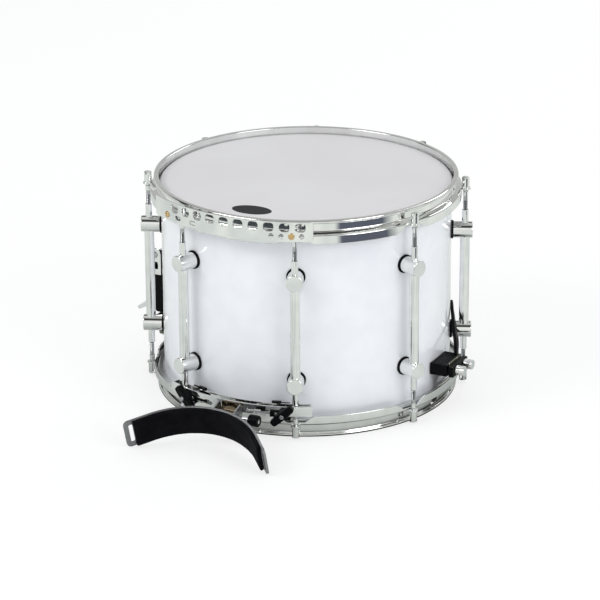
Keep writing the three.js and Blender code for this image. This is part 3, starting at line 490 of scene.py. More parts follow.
LACQUER = finish("white_lacquer", ((0.80, 0.82, 0.86), (0.83, 0.845, 0.875)), (0.18, 0.26), 0.05,
                 noise(40, 1), Coat_Weight=1.0, Coat_Roughness=0.04)
COATED = finish("coated_film", ((0.655, 0.64, 0.655), (0.685, 0.68, 0.69)), (0.5, 0.7), 0.35,
                noise(1400, 3), noise(7, 3), 0.0001)
FOAM = finish("woven_foam", ((0.0022, 0.0022, 0.0036), (0.0050, 0.0050, 0.0068)), (0.8, 0.95), 0.6,
              {"kind": "TexVoronoi", "Scale": 900}, noise(60, 2), 0.0004,
              Specular_IOR_Level=0.05, Sheen_Weight=0.02, Sheen_Roughness=0.5)
CHROME = plated("chrome_plate", (0.875, 0.88, 0.87), 0.03, 0.06, 60, 0.012)
STEEL = plated("rod_steel", (0.50, 0.51, 0.52), 0.14, 0.24, 500, 0.05)
MILL_ALUMINIUM = plated("mill_aluminium", (0.7, 0.71, 0.72), 0.3, 0.4, 700, 0.1)
SATIN_ALUMINIUM = plated("satin_aluminium", (0.33, 0.33, 0.34), 0.28, 0.42, 900, 0.12)
# A darker copy of the strip's chrome for its inner face: painted shade between the strip and the hoop
PAINTED_SHADE_BACK = plated("painted_shade_back", (0.14, 0.15, 0.17), 0.3, 0.5, 400, 0.06)
BRASS = plated("plain_brass", (0.72, 0.52, 0.27), 0.12, 0.25, 400, 0.08)
BRONZE = plated("dark_bronze", (0.13, 0.105, 0.07), 0.2, 0.34, 500, 0.06)
WIRE = plated("snare_wire", (0.7, 0.72, 0.66), 0.15, 0.3, 300, 0.08)
ENAMEL = black_finish("black_enamel", (0.002, 0.002, 0.0025), 0.22, 0.4, 900, 0.15)
RUBBER = black_finish("black_rubber", (0.003, 0.003, 0.004), 0.5, 0.7, 1200, 0.25)
TAPE = black_finish("olive_tape", (0.055, 0.048, 0.03), 0.4, 0.6, 800, 0.3)
PRINT = black_finish("oval_print", (0.022, 0.022, 0.024), 0.45, 0.6, 1500, 0.2, 0.00005)


# Shell and heads


def make_shell():
    inner = SHELL_RADIUS - SHELL_WALL
    crest = SHELL_RADIUS - EDGE_INSET
    chamfer = SHELL_WALL - EDGE_INSET
    piece = turned([
        (SHELL_RADIUS, SHELL_BOTTOM + EDGE_INSET, 1.0),
        (SHELL_RADIUS, SHELL_TOP - EDGE_INSET, 1.0),
        (crest, SHELL_TOP, 0.5),
        (inner, SHELL_TOP - chamfer, 0.6),
        (inner, SHELL_BOTTOM + chamfer, 0.6),
        (crest, SHELL_BOTTOM, 0.5),
    ], RING_STEPS)
    settle(piece, "lacquered_shell", LACQUER, "shell")


def ring_at(plane, inwards, corners):
    """Turns an outline (r, depth from the plane, radius); inwards is 1 or -1, towards the drum's middle."""
    return turned([(r, plane + inwards * depth, radius) for r, depth, radius in corners], RING_STEPS)


def make_head(name, node, plane, inwards):
    """A film with its collar."""
    out = SHELL_RADIUS + 0.3
    corners = [
        (0, FILM, 0), (out - EDGE_INSET, FILM, 1.0), (out, FILM + EDGE_INSET, 1.0), (out, 15, 0),
        (out + FILM, 15, 0), (out + FILM, EDGE_INSET, 1.4), (out + FILM - EDGE_INSET, 0, 1.4), (0, 0, 0),
    ]
    settle(ring_at(plane, inwards, corners), name, COATED, node)


def make_flesh_hoop(name, node, rim, inwards, drops):
    """The square ring that holds a film, under its counter hoop's flange."""
    slope = (drops[1] - drops[0]) / (FLANGE_OUT - HOOP_WALL_OUT)
    seat = drops[0] + FLANGE_PLATE + 0.4
    corners = [(179.1, seat, 0.5), (185, seat + slope * 5.9, 0.8), (185, 23.3, 0.8), (179.1, 23.3, 0.5)]
    settle(ring_at(rim, inwards, corners), name, MILL_ALUMINIUM, node)


def make_oval_mark():
    """A plain oval printed on the film, near the knee rest side."""
    piece = turned([(0, 0, 0), (1, 0, 0), (1, 0.06, 0), (0, 0.06, 0)], 64)
    move(piece, Matrix.Diagonal((25, 15, 1, 1)))
    place = shift(-4.5, -135.2, 0.0) @ rotation(3, "Z")
    settle(piece, "oval_mark", PRINT, place=place)


# Counter hoops


def hoop_ring(drops):
    wall, flange, skirt = drops
    return turned([
        (HOOP_WALL_IN, 0, 1.0),
        (BEAD_OUT, 0, 1.7),
        (BEAD_OUT, BEAD_DEPTH, 1.7),
        (HOOP_WALL_OUT, BEAD_DEPTH, 0.5),
        (HOOP_WALL_OUT, wall, 2.6),
        (FLANGE_OUT, flange, 1.8),
        (FLANGE_OUT, skirt, 0.8),
        (SKIRT_IN, skirt, 0.8),
        (SKIRT_IN, flange + FLANGE_PLATE, 1.0),
        (HOOP_WALL_IN, wall + FLANGE_PLATE, 0.9),
    ], RING_STEPS)


def skirt_cutter(drops):
    """Cuts the skirt away at an ear and lifts its edge gradually towards that gap."""
    top = drops[1] + FLANGE_PLATE
    foot = drops[2] + 3
    right = [(GAP_TOP, top, 0)]
    right += [(reach, drops[2] - rise, radius) for reach, rise, radius in SKIRT_END]
    right.append((SKIRT_END[-1][0] + 1, foot, 0))
    left = [(-reach, drop, radius) for reach, drop, radius in reversed(right)]
    return prism(right + left, 186.5, 200, "X")


def seat_cutters():
    seat = bar(WASHER_RADIUS + 0.5, 0, EAR_DROP, "Z", 0, 40, (ROD_CIRCLE, 0))
    hole = bar(ROD_RADIUS + 0.5, 0, EAR_DROP + 8, "Z", 0, 24, (ROD_CIRCLE, 0))
    return gather([seat, hole])


def hoop_ear():
    """The tongue that carries a rod: a nose plate and a sloped root that meets the flange."""
    nose = prism([(187.4, -EAR_HALF, 0), (EAR_REACH, -EAR_HALF, 7.2), (EAR_REACH, EAR_HALF, 7.2),
                  (187.4, EAR_HALF, 0)], EAR_DROP, EAR_DROP + EAR_PLATE, "Z", 0.5, 8)
    root = prism([(185.5, 15.4, 0), (190.5, 17.4, 1), (192.5, 19.4, 0.8), (192.5, 21.5, 0.8),
                  (187.4, 21.5, 1.0), (185.5, 19.0, 0.5)], -EAR_HALF, EAR_HALF, "Y", 0.5)
    return cut(gather([nose, root]), seat_cutters())


def make_hoop(name, node, drops, place, gates=()):
    """A pressed hoop with eight ears, and a gate for the snares at each of the given azimuths."""
    ring = hoop_ring(drops)
    wedge = skirt_cutter(drops)
    seat = seat_cutters()
    ear = hoop_ear()
    tools, ears = [], []
    for azimuth in station_angles():
        tools += [duplicate(wedge, station(azimuth)), duplicate(seat, station(azimuth))]
        ears.append(duplicate(ear, station(azimuth)))
    for azimuth in gates:
        gate = block((HOOP_WALL_IN - 4, -GATE_HALF, GATE_FOOT),
                     (BEAD_OUT + 4, GATE_HALF, GATE_DEPTH), 0, 2, "X")
        slot = block((184.6, -20, 11), (188.3, 20, 23.3), 0, 0.8, "X")
        slice_along(slot, "Y", -20, 20, 16)
        wrap(slot, 188.3)
        tools += [move(tool, station(azimuth)) for tool in (gate, slot)]
    for tool in tools:
        cut(ring, tool)
    for part in (wedge, seat, ear):
        bpy.data.objects.remove(part)
    settle(gather([ring, *ears]), name, CHROME, node, place)


# Lugs and tension rods


def make_lugs():
    parts = []
    for z in (POST_UP, POST_LOW):
        post = turned([(0, 180.3, 0), (POST_RADIUS, 180.3, 0.3), (POST_RADIUS, POST_FACE, 0.9),
                       (0, POST_FACE, 0)], 56, "X")
        head = bar(6, 167.7, 170.7, "X", 0.6, 24)
        stud = bar(2.5, 170, 182, "X", 0, 16)
        parts.append(move(gather([post, head, stud]), shift(0, 0, z)))
    parts.append(bar(TUBE_RADIUS, POST_LOW + 4, POST_UP - 4, "Z", 0.4, 40, (ROD_CIRCLE, 0)))
    for z, way in ((POST_UP, 1), (POST_LOW, -1)):
        end = z + way * SLEEVE_REACH
        near = z + way * 4
        sleeve = turned([(3.1, near, 0), (SLEEVE_RADIUS, near, 0), (SLEEVE_RADIUS, end, 0.5),
                         (3.1, end, 0.3)], 32)
        parts.append(move(sleeve, shift(ROD_CIRCLE, 0, 0)))
    lug = gather(parts)
    ring = turned([
        (3, 176.9, 0), (GASKET_RADIUS, 176.9, 0), (GASKET_RADIUS, 180.2, 0.7), (3, 180.2, 0),
    ], 56, "X")
    gaskets = []
    for index, azimuth in enumerate(station_angles(), 1):
        for z in (POST_UP, POST_LOW):
            gaskets.append(duplicate(ring, station(azimuth) @ shift(0, 0, z)))
        settle(duplicate(lug), f"tube_lug_{index}", CHROME, f"lug_{index}", station(azimuth))
    bpy.data.objects.remove(lug)
    bpy.data.objects.remove(ring)
    settle(gather(gaskets), "lug_gaskets", RUBBER)


def rod_outline(shank):
    """Half the outline of a rod, s from the thread's end at -shank to the head's top."""
    pitch = 1.0
    corners = [(0, -shank, 0), (ROD_RADIUS - 0.7, -shank, 0)]
    thread_top = -shank + 27
    s = -shank + 0.8
    while s < thread_top:
        corners += [(ROD_RADIUS - 0.4, s, 0), (ROD_RADIUS, s + pitch / 2, 0)]
        s += pitch
    return corners + [
        (ROD_RADIUS - 0.15, thread_top + 1, 0), (ROD_RADIUS - 0.15, 0, 0), (WASHER_RADIUS, 0, 0.4),
        (WASHER_RADIUS, WASHER_HEIGHT / 2, 0.4), (5.5, WASHER_HEIGHT / 2, 0), (5.5, WASHER_HEIGHT, 0.5),
        (HEAD_RADIUS, WASHER_HEIGHT, 0), (HEAD_RADIUS, ROD_TOP, 0.6), (0, ROD_TOP, 0),
    ]


def make_rods():
    """Slotted rods; the slots come to rest at their own angles."""
    slot_angles = (20, 75, 130, 5, 50, 100, 160, 35)
    for label, upper in (("batter", True), ("snare_side", False)):
        for index, azimuth in enumerate(station_angles(), 1):
            lift = BRACKET_LIFT if upper and index in (1, STATION_COUNT) else 0.0
            seat_drop = EAR_DROP - 0.3 - lift
            height = RIM_TOP - seat_drop if upper else RIM_LOW + seat_drop
            sleeve_gap = height - (POST_UP + SLEEVE_REACH) if upper else (POST_LOW - SLEEVE_REACH) - height
            rod = turned(rod_outline(sleeve_gap + 15), 28)
            cut(rod, block((-0.9, -6, ROD_TOP - 3.2), (0.9, 6, ROD_TOP + 1), 0))
            turn = rotation(slot_angles[index - 1], "Z")
            flip = STILL if upper else rotation(180, "X")
            place = station(azimuth) @ shift(ROD_CIRCLE, 0, height) @ flip @ turn
            bright = [face.center.z > -0.1 for face in rod.data.polygons]
            settle(rod, f"{label}_tension_rod_{index}", STEEL, f"{label}_rod_{index}",
                   place, f"{label}_tension_{index}")
            rod.data.materials.append(CHROME)
            rod.data.polygons.foreach_set("material_index", [int(value) for value in bright])


# Sling strip


def make_sling_strip():
    mid = (STRIP_IN + STRIP_OUT) / 2
    start, end = math.radians(STRIP_START) * mid, math.radians(STRIP_END) * mid
    low = STRIP_TOP - STRIP_HEIGHT
    strip = prism([(start, low, 2.5), (end, low, 2.5), (end, STRIP_TOP, 2.5), (start, STRIP_TOP, 2.5)],
                  STRIP_IN, STRIP_OUT, "X")

    def window(azimuth, z, width, height, corner):
        y = math.radians(azimuth) * mid
        return block((STRIP_IN - 3, y - width / 2, z - height / 2),
                     (STRIP_OUT + 3, y + width / 2, z + height / 2), 0, corner, "X")

    tools = [window(ROW_MIDDLE + (index - 4.5) * ROW_STEP, ROW_UP, 12.2, 10.6, 3.9) for index in range(10)]
    tools += [window(azimuth, SMALL_ROW_UP, 10, 5, 2.4) for azimuth in LONG_HOLE_ANGLES]
    for azimuth in (*SMALL_HOLE_ANGLES, *RIVET_ANGLES.values()):
        radius = 3.0 if azimuth in SMALL_HOLE_ANGLES else 2.1
        tools.append(bar(radius, STRIP_IN - 3, STRIP_OUT + 3, "X", 0, 28,
                         (math.radians(azimuth) * mid, SMALL_ROW_UP)))
    cut(strip, *tools)
    soften(strip, 0.35, 2, 50)
    slice_along(strip, "Y", start, end, 72)
    wrap(strip, mid)
    settle(strip, "pierced_strip", CHROME, "sling_strip", station(0))
    # The strip's faces towards the drum take the darker copy, as painted shade
    strip.data.materials.append(PAINTED_SHADE_BACK)
    for face in strip.data.polygons:
        inward = face.normal.x * face.center.x + face.normal.y * face.center.y
        face.material_index = int(inward < -0.7 * math.hypot(face.center.x, face.center.y))


def make_sling_brackets():
    seat = RIM_TOP - EAR_DROP + 0.3
    leg = STRIP_IN - 0.6
    for label, side in SIDES:
        rivet_place = math.radians(RIVET_ANGLES[label] - side * FIRST_STATION) * leg
        low, high = min(-7.5, rivet_place - 5.6), max(7.5, rivet_place + 5.6)
        edge = [(188.3, 6.3, 0), (196, 6.3, 3), (200.4, 7.5, 2), (leg - 0.6, 7.5, 0)]
        tongue = prism([(out, -y, radius) for out, y, radius in edge] + edge[::-1],
                       seat, seat + 1.2, "Z", 0.25)
        face = prism([(low, seat, 0.8), (high, seat, 0.8), (high, seat + 12, 2.5), (low, seat + 12, 2.5)],
                     leg - 1.2, leg, "X", 0.25)
        slice_along(face, "Y", low, high, 14)
        wrap(face, leg)
        fold = gather([tongue, face])
        hole = bar(3.3, seat - 2, seat + 3, "Z", 0, 28, (ROD_CIRCLE, 0))
        rivet_hole = bar(2.1, 198, 206, "X", 0, 24, (0, SMALL_ROW_UP))
        move(rivet_hole, Matrix.Rotation(rivet_place / leg, 4, "Z"))
        for tool in (hole, rivet_hole):
            cut(fold, tool)
        settle(fold, f"strip_bracket_{label}", STEEL, f"sling_bracket_{label}",
               station(side * FIRST_STATION))
        face = STRIP_OUT + 0.05
        rivet = turned([
            (0, 200.6, 0), (2.6, 200.6, 0.2), (2.6, 201.4, 0.2), (1.8, 201.4, 0), (1.8, face, 0),
            (4.2, face, 0.5), (3.8, face + 0.9, 0.5), (1.9, face + 1.5, 0.4), (1.3, face + 0.6, 0.2),
            (0, face + 0.6, 0),
        ], 32, "X")
        move(rivet, shift(0, 0, SMALL_ROW_UP))
        settle(rivet, f"strip_rivet_{label}", BRASS, f"sling_rivet_{label}",
               station(RIVET_ANGLES[label]))


# Snares


def strap_route(shoulder, shares, top):
    """From under the head out through the gate, up inside the skirt and over its edge to a clamp."""
    under = HEAD_LOW - 0.3 - STRAP_PLATE / 2
    start = 31.3
    route = [(166, under), (171.4, under), (182, up(7.6)), (185.65, up(13)), (185.95, up(20.85)),
             (186.25, up(28.7)), (FLANGE_OUT, up(start))]
    for out, rise in shares:
        route.append((FLANGE_OUT + (STRAP_RADIUS - FLANGE_OUT) * out, up(start + (shoulder - start) * rise)))
    return route + [(STRAP_RADIUS, up(shoulder)), (STRAP_RADIUS, up((shoulder + top) / 2)),
                    (STRAP_RADIUS, up(top))]


def spline(points, steps):
    """Points on a smooth curve through the given ones."""
    result = []
    last = len(points) - 1
    for segment in range(last):
        p = [Vector(points[max(0, min(last, segment + k))]) for k in (-1, 0, 1, 2)]
        for step in range(steps):
            t = step / steps
            result.append(0.5 * ((2 * p[1]) + (p[2] - p[0]) * t
                                 + (2 * p[0] - 5 * p[1] + 4 * p[2] - p[3]) * t * t
                                 + (3 * p[1] - p[0] - 3 * p[2] + p[3]) * t * t * t))
    result.append(Vector(points[-1]))
    return result


def sweep_cable(route, radius):
    """A round cable along a route, as a curve made a mesh."""
    curve = bpy.data.curves.new("wire", "CURVE")
    curve.dimensions = "3D"
    curve.bevel_depth = radius
    curve.bevel_resolution = 2
    curve.use_fill_caps = True
    path = curve.splines.new("POLY")
    path.points.add(len(route) - 1)
    for point, place in zip(path.points, route):
        point.co = (*place, 1)
    cable = bpy.data.objects.new("wire", curve)
    bpy.context.collection.objects.link(cable)
    pick(cable)
    bpy.ops.object.convert(target="MESH")
    return bpy.context.object


def make_snares():
    """Parallel wires that run under the head, out through the gates and up to the clamps."""
    left = spline(strap_route(35.5, ((0.43, 0.05), (0.8, 0.14), (0.96, 0.45)), 49), 6)
    right = spline(strap_route(44.7, ((0.45, 0.36), (0.8, 0.68)), 62), 6)
    wires = []
    for index in range(STRAND_COUNT):
        y = (index - (STRAND_COUNT - 1) / 2) * STRAND_PITCH
        route = [Vector((-p.x, y, p.y)) for p in reversed(left)]
        route += [Vector((p.x, y, p.y)) for p in right]
        wires.append(sweep_cable(route, 0.8))
    tapes = []
    width = STRAP_WIDTH - 3
    for way, route in ((-1, left), (1, right)):
        tape = trace([Vector((way * p.x, 0, p.y)) for p in route])
        extrude((0, width, 0))
        enter("OBJECT")
        move(tape, shift(0, -width / 2, 0))
        apply_modifier(tape, "SOLIDIFY", thickness=0.7, offset=0)
        pick(tape)
        enter("EDIT")
        tidy_mesh()
        tapes.append(tape)
    settle(gather(wires), "snare_wires", WIRE, "snare_set")
    settle(gather(tapes), "snare_tapes", TAPE)


# Strainer


def make_strainer_base():
    parts = [block((177.2, -BASE_HALF, up(61)), (184.1, BASE_HALF, up(141)), 1.0, 3, "X")]
    for side in (-1, 1):
        low, high = sorted((side * BASE_HALF, side * (BASE_HALF - 3)))
        parts.append(prism(raised([
            (181, 61, 1), (BASE_FACE, 61, 3), (BASE_FACE, 109, 2), (198, 112, 4), (198, 131, 4),
            (210, 132.5, 5.9), (210, 144.5, 5.9), (190, 144.5, 5), (181, 138, 1),
        ]), low, high, "Y", 0.6))
    parts.append(block((181, -16.5, up(106)), (BASE_FACE, 16.5, up(109)), 0.6))
    base = cut(gather(parts), bar(2.7, -30, 30, "Y", 0, 28, (PIVOT_OUT, up(PIVOT_UP))))
    settle(base, "strainer_casting", ENAMEL, "strainer_base", station(-90))
    screws = []
    for z in (up(116), up(134)):
        screw = turned([(0, 184.0, 0), (3.6, 184.0, 0), (3.6, 185.3, 0.8), (0, 186.2, 0)], 32, "X")
        cut(screw, block((185.2, -0.5, -4), (187, 0.5, 4), 0))
        cut(screw, block((185.2, -4, -0.5), (187, 4, 0.5), 0))
        screws.append(move(screw, shift(0, 0, z)))
    settle(gather(screws), "strainer_screws", STEEL, place=station(-90))


def make_strainer_lever():
    parts = []
    front = PIVOT_OUT + 8.5
    for side in (-1, 1):
        low, high = sorted((side * LEVER_IN, side * LEVER_HALF))
        cheek = prism(raised([
            (195.5, 112, 1.2), (front, 112, 1.2), (front, 147, 8.4), (195.5, 147, 8.4),
        ]), low, high, "Y", 0.45, 10)
        window = block((199.5, low - 2, up(119.5)), (208.5, high + 2, up(129)), 0, 1.5, "Y")
        parts.append(cut(cheek, window))
    parts.append(prism(raised([
        (210, 71, 3), (228.5, 61, 1.5), (231.8, 64.5, 1.6), (215.5, 74, 6), (front, 82, 8),
        (front, 136, 1.2), (210, 136, 0.6),
    ]), -LEVER_HALF, LEVER_HALF, "Y", 0.6))
    parts.append(prism(raised([
        (209.6, 80, 0), (213.3, 84, 0.8), (213.3, 128, 0.8), (209.6, 131, 0),
    ]), -6, 6, "Y", 0.8))
    lever = cut(gather(parts), bar(2.8, -30, 30, "Y", 0, 28, (PIVOT_OUT, up(PIVOT_UP))))
    settle(lever, "strainer_throw_lever", CHROME, "strainer_lever", station(-90), "lever")
    pin = turned([(0, -20.9, 0), (3.2, -20.9, 0.6), (4, -19.9, 0.2), (4, -19.7, 0), (2.5, -19.7, 0),
                  (2.5, 19.7, 0), (4, 19.7, 0), (4, 19.9, 0.2), (3.2, 20.9, 0.6), (0, 20.9, 0)], 32, "Y")
    move(pin, shift(PIVOT_OUT, 0, up(PIVOT_UP)))
    settle(pin, "lever_pin", STEEL, "strainer_pivot_pin", station(-90))


def knurled(radius, start, end, teeth, axis, ease):
    """A round grip whose rim is cut by straight flutes."""
    grip = bar(radius, start, end, axis, ease, teeth * 4)
    cutters = []
    for index in range(teeth):
        angle = TURN * index / teeth
        a, b = radius * 1.02 * math.cos(angle), radius * 1.02 * math.sin(angle)
        cutters.append(bar(radius * 0.07, start + 1, end - 1, axis, 0, 8, (a, b)))
    return cut(grip, *cutters)


def make_strainer_slide():
    slide = block((184.4, -13.5, up(64)), (195.4, 13.5, up(105)), 0.8)
    for z in (72, 80, 88):
        cut(slide, block((194.4, -9, up(z)), (197, 9, up(z + 3)), 0))
    neck = bar(3, up(46), up(66), "Z", 0.4, 28, (SLIDE_NECK_OUT, 0))
    settle(gather([slide, neck]), "strainer_carriage", STEEL, "strainer_slide",
           station(-90), "slide")
    wheel = knurled(8, up(57.8), up(60.8), 30, "Z", 0.5)
    cut(wheel, bar(3.25, up(55), up(65), "Z", 0, 28))
    move(wheel, shift(SLIDE_NECK_OUT, 0, 0))
    settle(wheel, "tension_wheel", STEEL, "strainer_adjusting_wheel",
           station(-90), "adjusting_wheel")
    clamp = block((186.3, -26, up(CLAMP_LOW)), (CLAMP_IN, 26, up(CLAMP_TOP)), 0.9, 2.5, "Z")
    cut(clamp, bar(3.25, up(38), up(60), "Z", 0, 28, (SLIDE_NECK_OUT, 0)))
    settle(clamp, "snare_clamp_block", ENAMEL, "strainer_clamp_block", station(-90), "slide")
    parts = [block((CLAMP_OUT, -26, up(CLAMP_LOW)), (205.9, 26, up(CLAMP_TOP)), 0.8, 2.5, "X")]
    for y in (-23, 23):
        screw = turned([(0, BASE_FACE, 0), (2.9, BASE_FACE, 0), (2.9, 207.5, 0.5), (1.4, 207.5, 0),
                        (1.4, 206.2, 0), (0, 206.2, 0)], 24, "X")
        parts.append(move(screw, shift(0, y, up(48.75))))
        parts.append(bar(1.6, 192.6, 203, "X", 0.2, 16, (y, up(48.75))))
    settle(gather(parts), "snare_clamp_cover", ENAMEL, "strainer_clamp_cover",
           station(-90), "slide")


# Butt


def make_butt():
    housing = block((177.4, -22, up(BUTT_LOW)), (CLAMP_IN, 22, up(60)), 1.1)
    grooves = [block((x, -23, up(59.2)), (x + 1.3, 23, up(61)), 0) for x in (181, 184.5, 188, 191.5, 195)]
    cut(housing, *grooves)
    settle(housing, "butt_block", ENAMEL, "butt_housing", station(90))
    plate = block((CLAMP_OUT, -22, up(BUTT_LOW)), (208.4, 22, up(58.5)), 1.2)
    rims = [bar(7.2, 207.2, 210, "X", 0, 36, (y, up(BUTT_SCREWS_UP))) for y in (-12, 12)]
    cut(plate, *rims)
    settle(plate, "butt_plate", ENAMEL, "butt_clamp_plate", station(90))
    for label, y in (("left", -12), ("right", 12)):
        grip = knurled(6, 208.9, 219.7, 20, "X", 0.7)
        stem = bar(2.4, 190, 212, "X", 0.3, 24)
        collar = bar(4.4, 208, 210.5, "X", 0.3, 28)
        screw = move(gather([grip, stem, collar]), shift(0, y, up(BUTT_SCREWS_UP)))
        settle(screw, f"thumb_screw_{label}", CHROME, f"butt_thumb_screw_{label}",
               station(90), f"thumb_screw_{label}")
    make_stay()


def make_stay():
    """A flat bar that leans back from the butt to the shell: bent round it, its reach set by height."""
    foot, rise, shell_angle, foot_angle = 60.3, 36, 31.0, 4.7
    on_shell, at_foot = 180.1, 196.0
    shares = [(0, 0, 1), (0.02, 0.25, 0.85), (0.25, 0.55, 0.58), (0.8, 0.87, 0.2), (1, 1, -0.1)]
    reaches = spline([(on_shell + (at_foot - on_shell) * out, foot + rise * height)
                      for out, _, height in shares], 6)
    middle = spline([(math.radians(shell_angle + (foot_angle - shell_angle) * swing) * on_shell,
                      foot + rise * height) for _, swing, height in shares], 6)
    sides = ([], [])
    for index, point in enumerate(middle):
        along = (middle[min(index + 1, len(middle) - 1)] - middle[max(index - 1, 0)]).normalized()
        for way, edge in zip((-3, 3), sides):
            edge.append((point.x - along.y * way, up(point.y + along.x * way), 0))
    stay = prism(sides[0] + sides[1][::-1], -2, 2, "X", 0.8)
    cut(stay, block((-9, -10, up(foot - 12)), (9, 80, up(foot)), 0))
    slice_along(stay, "Z", up(foot), up(foot + rise), 12)
    heights = [up(p.y) for p in reaches]
    for vertex in stay.data.vertices:
        step = min(range(len(heights) - 1),
                   key=lambda i: abs((heights[i] + heights[i + 1]) / 2 - vertex.co.z))
        share = (vertex.co.z - heights[step]) / (heights[step + 1] - heights[step])
        share = max(0.0, min(1.0, share))
        vertex.co.x += reaches[step].x + (reaches[step + 1].x - reaches[step].x) * share
    wrap(stay, on_shell)
    settle(stay, "butt_strut", ENAMEL, "butt_stay", station(90))


# Knee rest


def make_rail():
    half = math.radians(28.2)

    def arc(radius, start, end, steps=48):
        angles = [start + (end - start) * i / steps for i in range(steps + 1)]
        return [(radius * math.cos(a), radius * math.sin(a), 0) for a in angles]

    inset = 2 / 200
    rail = prism(arc(201, -half, half) + arc(189.2, half, -half), up(RAIL_FOOT), up(RAIL_TOP), "Z")
    hollow = prism(arc(199, -half + inset, half - inset) + arc(191.2, half - inset, -half + inset),
                   up(RAIL_FOOT - 3), up(RAIL_TOP + 3), "Z")
    cut(rail, hollow)
    for side in (-1, 1):
        slot = block((193.5, -21, up(BOLT_UP) - 2.9), (207, 21, up(BOLT_UP) + 2.9), 0, 2.8, "X")
        move(slot, rotation(side * 13.8, "Z"))
        hole = bar(3, 186, 194, "X", 0, 24, (0, up(BOLT_UP)))
        move(hole, rotation(side * BOLT_AZIMUTH, "Z"))
        cut(rail, slot)
        cut(rail, hole)
    soften(rail, 0.3, 2, 50)
    settle(rail, "knee_rail", CHROME, "knee_rest_rail", station(0))


def make_claws():
    for label, side in SIDES:
        place = station(side * BOLT_AZIMUTH)
        offset = -side * 4
        low, high = offset - 11, offset + 11
        lip = (high - 11, high) if side < 0 else (low, low + 11)
        plate = block((185.4, low, up(21.6)), (187.2, high, up(RAIL_TOP)), 0.5)
        hook = prism(raised([
            (185.4, 38, 0.4), (187.2, 38, 0.4), (187.2, 44.8, 0.3), (191.2, 44.8, 0.3),
            (191.2, 46.4, 0.7), (185.4, 46.4, 0.9),
        ]), *lip, "Y", 0.35)
        settle(gather([plate, hook]), f"skirt_claw_{label}", ENAMEL,
               f"rail_claw_{label}", place)
        bolt = bar(2.5, 186, 213.5, "X", 0.5, 28, (0, up(BOLT_UP)))
        settle(bolt, f"claw_bolt_{label}", STEEL, place=place)
        middle = -side * 8
        washer = block((201.1, middle - 7.5, up(RAIL_FOOT) - 0.5),
                       (202.9, middle + 7.5, up(BOLT_UP) + 4), 0.4)
        dot = turned([(0, 202.7, 0), (1.9, 202.7, 0), (1.9, 203.6, 0.5), (0, 203.9, 0)], 24, "X")
        move(dot, shift(0, middle, up(BOLT_UP)))
        settle(washer, f"slot_washer_{label}", ENAMEL, place=place)
        settle(dot, f"washer_stud_{label}", STEEL, place=place)
        make_wing_nut(label, side, place)


def make_wing_nut(label, side, place):
    hub = turned([(3, 201.6, 0), (6, 201.6, 0.5), (5.2, 206, 0.4), (3, 206, 0)], 36, "X")
    wing = prism([(-16.5, -4.2, 3.2), (-6, -5, 4), (6, -5, 4), (16.5, -4.2, 3.2),
                  (16.5, 4.2, 3.2), (6, 5, 4), (-6, 5, 4), (-16.5, 4.2, 3.2)], 203.9, 211.9, "X", 1.4)
    cut(wing, bar(3, 200, 215, "X", 0, 28))
    turn = rotation(42 if side > 0 else 138, "X")
    nut = move(gather([hub, wing]), shift(0, 0, up(BOLT_UP)) @ turn)
    settle(nut, f"bar_nut_{label}", ENAMEL, f"rail_wing_nut_{label}",
           place, f"wing_nut_{label}")


def make_hinge():
    z = up(TILT_UP)
    face = 201.3
    leaf = prism([(face, up(RAIL_TOP), 0.6), (face, up(RAIL_FOOT), 0.4), (TILT_OUT, z - 2, 0),
                  (TILT_OUT, z + 2, 0), (205.5, up(34.5), 2), (face + 2, up(39), 2),
                  (face + 2, up(RAIL_TOP), 0.6)], -12, 12, "Y", 0.3)
    barrel = bar(5.2, -12, 12, "Y", 0.5, 40, (TILT_OUT, z))
    rivet = [(0, face + 1.9, 0), (3, face + 1.9, 0), (2.6, face + 3.0, 0.6), (0, face + 3.3, 0)]
    rivets = [move(turned(rivet, 28, "X"), shift(0, y, up(40.5))) for y in (-7, 7)]
    tongue = gather([leaf, barrel, *rivets])
    settle(tongue, "hinge_leaf", BRONZE, "hinge_tongue", station(0))
    pin = turned([(0, -17.8, 0), (5, -17.8, 0.8), (5, -15.3, 0.3), (2.5, -15.3, 0), (2.5, 15.3, 0),
                  (5, 15.3, 0.3), (5, 17.8, 0.5), (2.5, 17.8, 0), (2.5, 42.3, 0.4), (0, 42.3, 0)], 32, "Y")
    move(pin, shift(TILT_OUT, 0, z))
    settle(pin, "hinge_axle", STEEL, "hinge_pin", station(0))
    knob = knurled(7, 29.3, 42.3, 18, "Y", 1.4)
    cut(knob, bar(2.7, 25, 45, "Y", 0, 28))
    move(knob, shift(TILT_OUT, 0, z))
    settle(knob, "lock_knob_grip", ENAMEL, "tilt_lock_knob", station(0), "lock_knob")


def rest_place():
    """The knee rest hangs a little front down on its pin."""
    pin = shift(TILT_OUT, 0, up(TILT_UP))
    return station(0) @ pin @ rotation(REST_TILT, "Y") @ pin.inverted()


def make_cheeks():
    z = up(TILT_UP)
    parts = [block((234.6, -CHEEK_HALF, up(KNEE_LOW)), (236.8, CHEEK_HALF, up(CHEEK_TOP)), 0.4)]
    for side in (-1, 1):
        low, high = sorted((side * CHEEK_HALF, side * (CHEEK_HALF - 2)))
        parts.append(prism([
            (201.4, z, 0.6), (203.6, z - 3.5, 4), (208, up(21.2), 5), (217, up(21.2), 4),
            (224, up(KNEE_LOW), 3), (236.8, up(KNEE_LOW), 0.6), (236.8, up(CHEEK_TOP), 0.6),
            (201.4, up(CHEEK_TOP), 1.0),
        ], low, high, "Y", 0.35))
    cheeks = cut(gather(parts), bar(2.7, -20, 20, "Y", 0, 28, (TILT_OUT, z)))
    settle(cheeks, "rest_bracket", SATIN_ALUMINIUM, "hinge_cheeks", rest_place(), "knee_rest")


